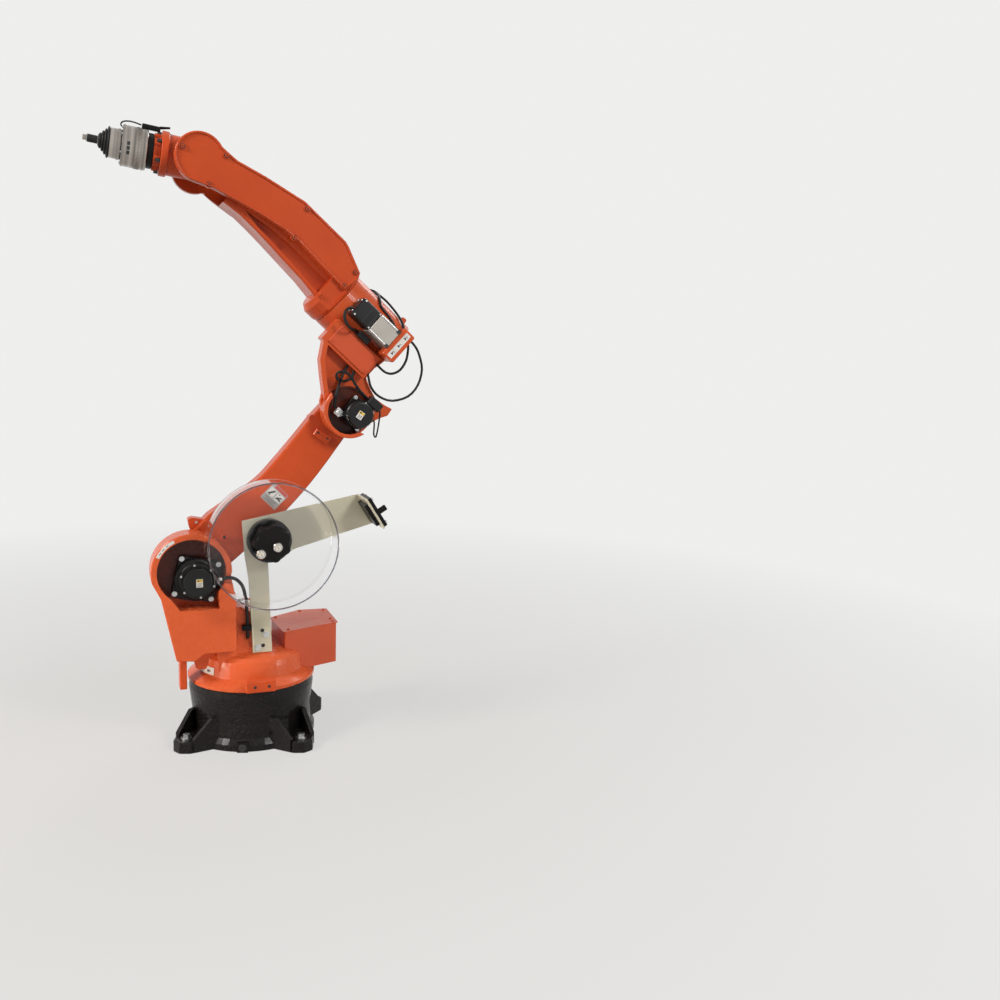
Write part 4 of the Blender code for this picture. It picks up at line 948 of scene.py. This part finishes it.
def dress_arm():
    sticker()
    screws("boss_screw", "lower_arm", [(-0.009, ARM_FACE - 0.0038, 0.115)], 0.0038, BLACK_OXIDE,
           height=0.004, socket=0.55, washer_height=0.0003)
    screws("lug_screw", "lower_arm", [(0.067, ARM_FACE - 0.0205, 0.095)], 0.0032, ZINC,
           height=0.010, washer_height=0.0003)
    # The stop bolt holes are discs of painted shade.
    spots = [(0.0115, STOP_FACE, ARM_LENGTH - 0.0945), (-0.0165, STOP_FACE, ARM_LENGTH - 0.0885)]
    hole_shade_discs("stop_bolt_holes", "lower_arm", spots, 0.0030, 18)
    plug = [(0.0475, ARM_FACE - 0.0002, ARM_LENGTH - 0.078)]
    screws("arm_boss_plug", "lower_arm", plug, 0.0052, ORANGE, height=0.0004, washer_height=0.0002)
    back = ARM_FACE - ARM_THICK
    for name, z, radius, count in (("shoulder_back_screws", 0.0, 0.056, 12),
                                   ("elbow_back_screws", ARM_LENGTH, 0.042, 10)):
        points = face_ring(count, radius, 15, (0.0, z), back)
        screws(name, "lower_arm", points, 0.0048, BLACK_OXIDE, AWAY, 0.003)


def sticker():
    """Square safety film: an arm-and-hand pictogram on white, a red band and dark bars."""
    place = towards_viewer(-0.0275, 0.2800, ARM_FACE)
    side, bar_top, mark_top = 0.052, 0.0004, 0.0006
    arm = [(-0.0215, -0.0045), (-0.0085, 0.0130), (-0.0050, 0.0100), (-0.0140, -0.0030),
           (-0.0105, -0.0060)]
    hand = [(0.0045, -0.0050), (0.0100, -0.0010), (0.0205, -0.0030), (0.0215, 0.0010),
            (0.0150, 0.0030), (0.0210, 0.0070), (0.0180, 0.0095), (0.0110, 0.0050),
            (0.0060, 0.0030)]
    spark = [(0.0060, 0.0125), (0.0100, 0.0135), (0.0085, 0.0085)]
    bm = bmesh.new()
    prism(bm, rectangle(0, 0, side, side, 0.002), place, 0, FILM)
    prism(bm, rectangle(0.004, 0.0212, 0.040, 0.0075), place, FILM, INK, 1)
    for x in (-0.0125, 0.0128):
        prism(bm, rectangle(x, 0.0040, 0.0215, 0.0215), place, FILM, INK, 3)
    for outline in (arm, hand, spark):
        prism(bm, outline, place, INK, mark_top, 2)
    for i in range(4):
        bar = rectangle(-0.002, -0.0112 - 0.0034 * i, 0.040 - 0.006 * (i % 3), 0.0011)
        prism(bm, bar, place, FILM, bar_top, 2)
    add_piece("safety_film", bm, "lower_arm", [GREY_LABEL, RED_LABEL, BLACK_INK, WHITE_LABEL])


# elbow

def dress_elbow():
    left, right, low, high = 0.035, 0.165, OFFSET - 0.112, OFFSET - 0.056
    inset, cover_face = 0.007, 0.098 + 0.005
    points = [(x, cover_face, z) for x in (left + inset, right - inset)
              for z in (low + inset, high - inset)]
    screws("side_cover_screws", "elbow", points, 0.0030, ORANGE_SHEET, height=0.0016, socket=0.55)
    dress_elbow_motor()
    dress_roll_motor()
    bracket_film()
    bushings()
    cable_jackets()
    cable_ties()


def dress_elbow_motor():
    """Screws, fins, label and second plug of the third joint's motor."""
    cx, cz = -0.021, 0.010
    housing, pad, flange_long, body_long, cap_long = 0.0585, 0.014, 0.0149, 0.0367, 0.0167
    flange = housing + pad + GAP + GAP + flange_long
    body = flange + GAP + body_long
    cap = body + GAP + cap_long
    points = face_ring(4, 0.0425, 45, (cx, cz), flange)
    screws("elbow_motor_flange_screws", "elbow", points, 0.0042, ZINC, height=0.0050, washer=1.3)
    points = face_ring(3, 0.0343, 75, (cx, cz), body)
    screws("elbow_motor_cap_screws", "elbow", points, 0.0016, ZINC)
    fins("elbow_motor_fins", "elbow", facing((cx, (flange + body) / 2, cz), VIEWER), 44, 0.0366,
         (0.0046, 0.0012, 0.0300), MOTOR_BLACK)
    place = towards_viewer(cx + 0.002, cz - 0.002, cap + CLEAR_OF, 8)
    motor_label("elbow_motor_label", "elbow", place)
    gland("elbow_plug_coupling", "elbow", (cx + 0.0420, flange + 0.0170, cz - 0.031), VIEWER,
          0.0080, 0.010)


def dress_roll_motor():
    """Through-bolts, joints and end screws of the fourth joint's motor."""
    near, side = 0.085, 0.058
    low, top = OFFSET - 0.027, near + side
    start, split, end = 0.0473, 0.114, 0.176
    bolts, feet = bmesh.new(), bmesh.new()
    for z in (low + 0.0045, low + side - 0.0045):
        place = facing((start + 0.001, top + CLEAR_OF, z), FORWARD)
        lathe(bolts, cylinder_profile(0.0024, split - start - 0.002, 0.0003), place, 18)
        foot = rectangle(0, 0, 0.010, 0.0085, 0.0015)
        prism(feet, foot, towards_viewer(start + 0.0055, z, top), -0.0005, 0.0042)
    add_piece("roll_motor_through_bolts", bolts, "elbow", [ZINC])
    add_piece("roll_motor_bolt_feet", feet, "elbow", [BLACK_OXIDE])
    bm = bmesh.new()
    for x in (split + 0.009, split + 0.028):
        joint = rectangle(0, 0, 0.0012, side - 0.004)
        prism(bm, joint, towards_viewer(x, low + side / 2, top - 0.001), -0.0002, 0.0006)
    add_piece("encoder_joints", bm, "elbow", [BLACK_OXIDE])
    points = [(x, top - 0.0009, z) for x in (split + 0.0045, end - 0.008)
              for z in (low + 0.006, low + side - 0.006)]
    screws("encoder_screws", "elbow", points, 0.0024, ZINC, height=0.0022)
    points = [(end, y, z) for y in (near + 0.011, top - 0.011)
              for z in (low + 0.011, low + side - 0.011)]
    screws("encoder_end_screws", "elbow", points, 0.0026, ZINC, FORWARD, 0.002)


def bracket_film():
    """Film on the bracket with three plain pictograms in a row."""
    place = towards_viewer(0.0275, OFFSET + 0.002, 0.140)
    mark_top = 0.00045
    bm = bmesh.new()
    prism(bm, rectangle(0, 0, 0.0155, 0.078, 0.0015), place, 0, FILM)
    for y in (-0.026, 0.0, 0.026):
        triangle = [(-0.0042, y - 0.0040), (0.0042, y - 0.0040), (0.0, y + 0.0028)]
        prism(bm, triangle, place, FILM, mark_top, 1)
        prism(bm, rectangle(0.0008, y + 0.0046, 0.0055, 0.0013, 0, 25), place, FILM, mark_top, 1)
    add_piece("bracket_film", bm, "elbow", [WHITE_LABEL, BLACK_INK])


def bushings():
    """Black grommets where the thin cables leave the housings."""
    profile = [(0.0024, 0), (0.0052, 0), (0.0052, 0.0012), (0.0040, 0.0016), (0.0034, 0.0050),
               (0.0024, 0.0050)]
    spots = [((0.0300, 0.078, 0.1455), (-1, 0, 0)), ((0.0300, 0.085, 0.110), (-1, 0, 0)),
             ((0.0090, 0.088, 0.2440), (-1, 0, 0.1)), ((0.0090, 0.092, 0.2515), (-1, 0, 0)),
             ((0.0470, 0.0737, 0.2495), (1, 0, 0.4)), ((0.0280, 0.070, 0.2555), UPWARD),
             ((0.150, -0.0345, 0.2828), (0, -0.2, 1)), ((0.161, -0.0345, 0.2828), (0, -0.2, 1))]
    bm = bmesh.new()
    for point, way in spots:
        lathe(bm, profile, facing(point, way), 20)
    add_piece("cable_grommets", bm, "elbow", [BLACK_RUBBER])


def cable_jackets():
    """Sleeves over the four thin cables, a little thicker than the solids they follow."""
    thicker = 0.0011
    for name in ("short_cable_loop", "long_cable_loop", "tube_cable_a", "tube_cable_b"):
        bm = bmesh.new()
        bm.from_mesh(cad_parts[name].data)
        bmesh.ops.remove_doubles(bm, verts=bm.verts, dist=0.00001)
        bmesh.ops.recalc_face_normals(bm, faces=bm.faces)
        bm.normal_update()
        for vertex in bm.verts:
            vertex.co += vertex.normal * thicker
        mesh = bpy.data.meshes.new(name + "_jacket")
        bm.to_mesh(mesh)
        bm.free()
        ride_mesh(name + "_jacket", mesh, "elbow", [CABLE_JACKET], 50.0)


def cable_ties():
    """Ties that hold the motor cable's loop together."""
    radius, thick, half_wide = 0.0039, 0.0011, 0.0014
    bm = bmesh.new()
    for point, way in (((0.0745, 0.107, 0.0430), (0.017, 0.006, -0.007)),
                       ((0.0560, 0.122, 0.0645), (-0.022, 0, -0.0065)),
                       ((0.0305, 0.1197, 0.0575), (-0.024, -0.005, -0.006))):
        place = facing(point, way)
        lathe(bm, hoop_profile(radius, radius + thick, -half_wide, half_wide), place, 20)
        lock = rectangle(radius + 0.0016, 0, 0.0034, 0.0042, 0.0004)
        prism(bm, lock, place, -0.0018, 0.0018)
    add_piece("cable_ties", bm, "elbow", [BLACK_PLASTIC])


def dark_rings(name, body, points, outer, inner):
    """Painted shade in a shadow gap round each screw head, and at the bottom of its socket."""
    bm = bmesh.new()
    for point in points:
        place = facing(point, VIEWER)
        lathe(bm, hoop_profile(inner, outer, 0, FILM), place, 24)
        lathe(bm, cylinder_profile(inner * 0.5, 0.0022, 0.0001), place, 12)
    add_piece(name, bm, body, [PAINTED_SHADE_BLACK])


# forearm, wrist and tool

def dress_forearm():
    tail, screw_radius = -SEAM_TO_WRIST, 0.0046
    lobes = [(0.044, -0.012), (-0.041, 0.048), (-0.057, -0.034), (-0.262, 0.098), (-0.285, 0.022),
             (tail + 0.021, 0.071), (tail + 0.018, 0.024)]
    points = [(x, COVER_LOBE + CLEAR_OF, z) for x, z in lobes]
    screws("forearm_cover_screws", "forearm", points, screw_radius, ORANGE, height=0.0030)
    # Painted shade round and inside the cover screws.
    dark_rings("forearm_cover_screw_gaps", "forearm", points, 0.0067, screw_radius)
    screws("forearm_rear_bolt", "forearm", [(-0.4335, 0.0681, -0.036)], 0.0052, ORANGE,
           height=0.0045, washer=1.3)
    rim_bead()
    cheek_centre, cheek_face = (-0.010, -0.014), -0.0782
    points = face_ring(6, 0.044, 10, cheek_centre, cheek_face)
    screws("head_back_screws", "forearm", points, 0.0042, ORANGE, AWAY, 0.003)


def cover_outline():
    """Middle line of the forearm cover's raised rim, in the forearm's frame."""
    tail = -SEAM_TO_WRIST
    head = [polar(0.060, math.radians(245 + 225 * i / 32)) for i in range(33)]
    rest = [(-0.040, 0.057), (-0.067, 0.059), (-0.139, 0.081), (-0.247, 0.108),
            (tail + 0.091, 0.110), (tail + 0.076, 0.106), (tail + 0.010, 0.078),
            (tail + 0.004, 0.066), (tail + 0.009, 0.016), (tail + 0.025, 0.018),
            (-0.301, 0.022), (-0.255, 0.018), (-0.186, 0.002), (-0.071, -0.032)]
    return [Vector(spot) for spot in head + rest]


def rim_bead():
    """Rolled bead that runs round the top of the cover's rim."""
    radius, sides, inset, height = 0.0032, 8, 0.0036, COVER_FACE - 0.0014
    sharpest = 0.6
    line = cover_outline()
    bm = bmesh.new()
    rings = []
    for i, point in enumerate(line):
        before = (point - line[i - 1]).normalized()
        after = (line[(i + 1) % len(line)] - point).normalized()
        side = Vector((-(before + after).y, (before + after).x)).normalized()
        stretch = 1 / max(sharpest, side.dot(Vector((-before.y, before.x))))
        middle = point + side * inset * stretch
        ring = []
        for k in range(sides):
            out, up = polar(radius, 2 * math.pi * k / sides)
            flat = middle + side * out * stretch
            ring.append(bm.verts.new((flat.x, height + up, flat.y)))
        rings.append(ring)
    for a, b in zip(rings, rings[1:] + rings[:1]):
        for k in range(sides):
            j = (k + 1) % sides
            bm.faces.new((a[k], a[j], b[j], b[k]))
    add_piece("cover_rim_bead", bm, "forearm", [ORANGE], 60)


def dress_wrist():
    collar_face = FLANGE_REACH - 0.018
    points = end_ring(6, 0.0517, 0, collar_face + CLEAR_OF)
    screws("wrist_collar_screws", "wrist", points, 0.0017, BLACK_OXIDE, (-1, 0, 0), 0.0014)


def dress_tool():
    flange_front, ring_long, sensor_long = 0.016, 0.014, 0.059
    screws("tool_flange_bolts", "tool", end_ring(6, 0.045425, 30, GAP), 0.0048,
           BLACK_OXIDE, FORWARD, 0.0095, washer_height=0.0005)
    start = flange_front + ring_long
    end = start + sensor_long
    dress_sensor(start, end)
    # folds of the bellows
    bm = bmesh.new()
    bellows = end + 0.028
    for at, radius in ((0.0016, 0.0362), (0.0080, 0.0292), (0.0140, 0.0232), (0.0200, 0.0172)):
        lathe(bm, bead_profile(radius, 0.0014, 0.0016), on_axis(bellows + at), 48)
    add_piece("bellows_folds", bm, "tool", [BLACK_RUBBER], 60)
    # collar and spring band on the nozzle
    bm = bmesh.new()
    place = on_axis(bellows + 0.025 + 0.024)
    lathe(bm, [(0.0055, 0.0005), (0.0074, 0.0008), (0.0074, 0.0032), (0.0062, 0.0036),
               (0.0055, 0.0036)], place, 28)
    lathe(bm, [(0.0050, 0.0062), (0.0069, 0.0064), (0.0069, 0.0086), (0.0050, 0.0090)], place, 28)
    add_piece("nozzle_bands", bm, "tool", [STEEL])


def on_axis(x):
    """Place on the link's own axis, its Z running forward."""
    return facing((x, 0, 0), FORWARD)


def dress_sensor(start, end):
    """Stepped bands, a knurled ring, face screws and three small dark windows."""
    radius, lip, chamfer = 0.0485, 0.001, 0.0003
    bm = bmesh.new()
    for at, wide, proud in ((start + 0.005, 0.0060, 0.0009), (start + 0.0335, 0.0022, 0.0007),
                            (end - 0.0065, 0.0045, 0.0009)):
        profile = [(radius - lip, 0), (radius + proud, chamfer), (radius + proud, wide - chamfer),
                   (radius - lip, wide)]
        lathe(bm, profile, on_axis(at), 72)
    lathe(bm, [(0.035, 0), (0.0371, 0.0003), (0.0371, 0.0050), (0.035, 0.0053)],
          on_axis(end + 0.004), 64)
    add_piece("sensor_bands", bm, "tool", [STEEL], 30)
    fins("sensor_knurl", "tool", on_axis(start + 0.021), 84, radius + 0.0002,
         (0.0016, 0.0018, 0.0120), STEEL)
    screws("sensor_face_screws", "tool", end_ring(6, 0.0425, 30, end + CLEAR_OF), 0.0024, ZINC,
           FORWARD, 0.0016)
    bm = bmesh.new()
    for degrees in (64, 77, 90):
        y, z = polar(1.0, math.radians(degrees - 90))
        place = facing((start + 0.0435, radius * y + 0.0002, radius * z), (0, y, z))
        prism(bm, rectangle(0, 0, 0.0070, 0.0085, 0.0010), place, -0.0004, 0.0005)
    add_piece("sensor_marks", bm, "tool", [BLACK_OXIDE])


def main():
    set_camera()
    set_light()
    set_floor()
    finish_cad_nodes()
    dress_base()
    dress_column()
    dress_arm()
    dress_elbow()
    dress_forearm()
    dress_wrist()
    dress_tool()


main()
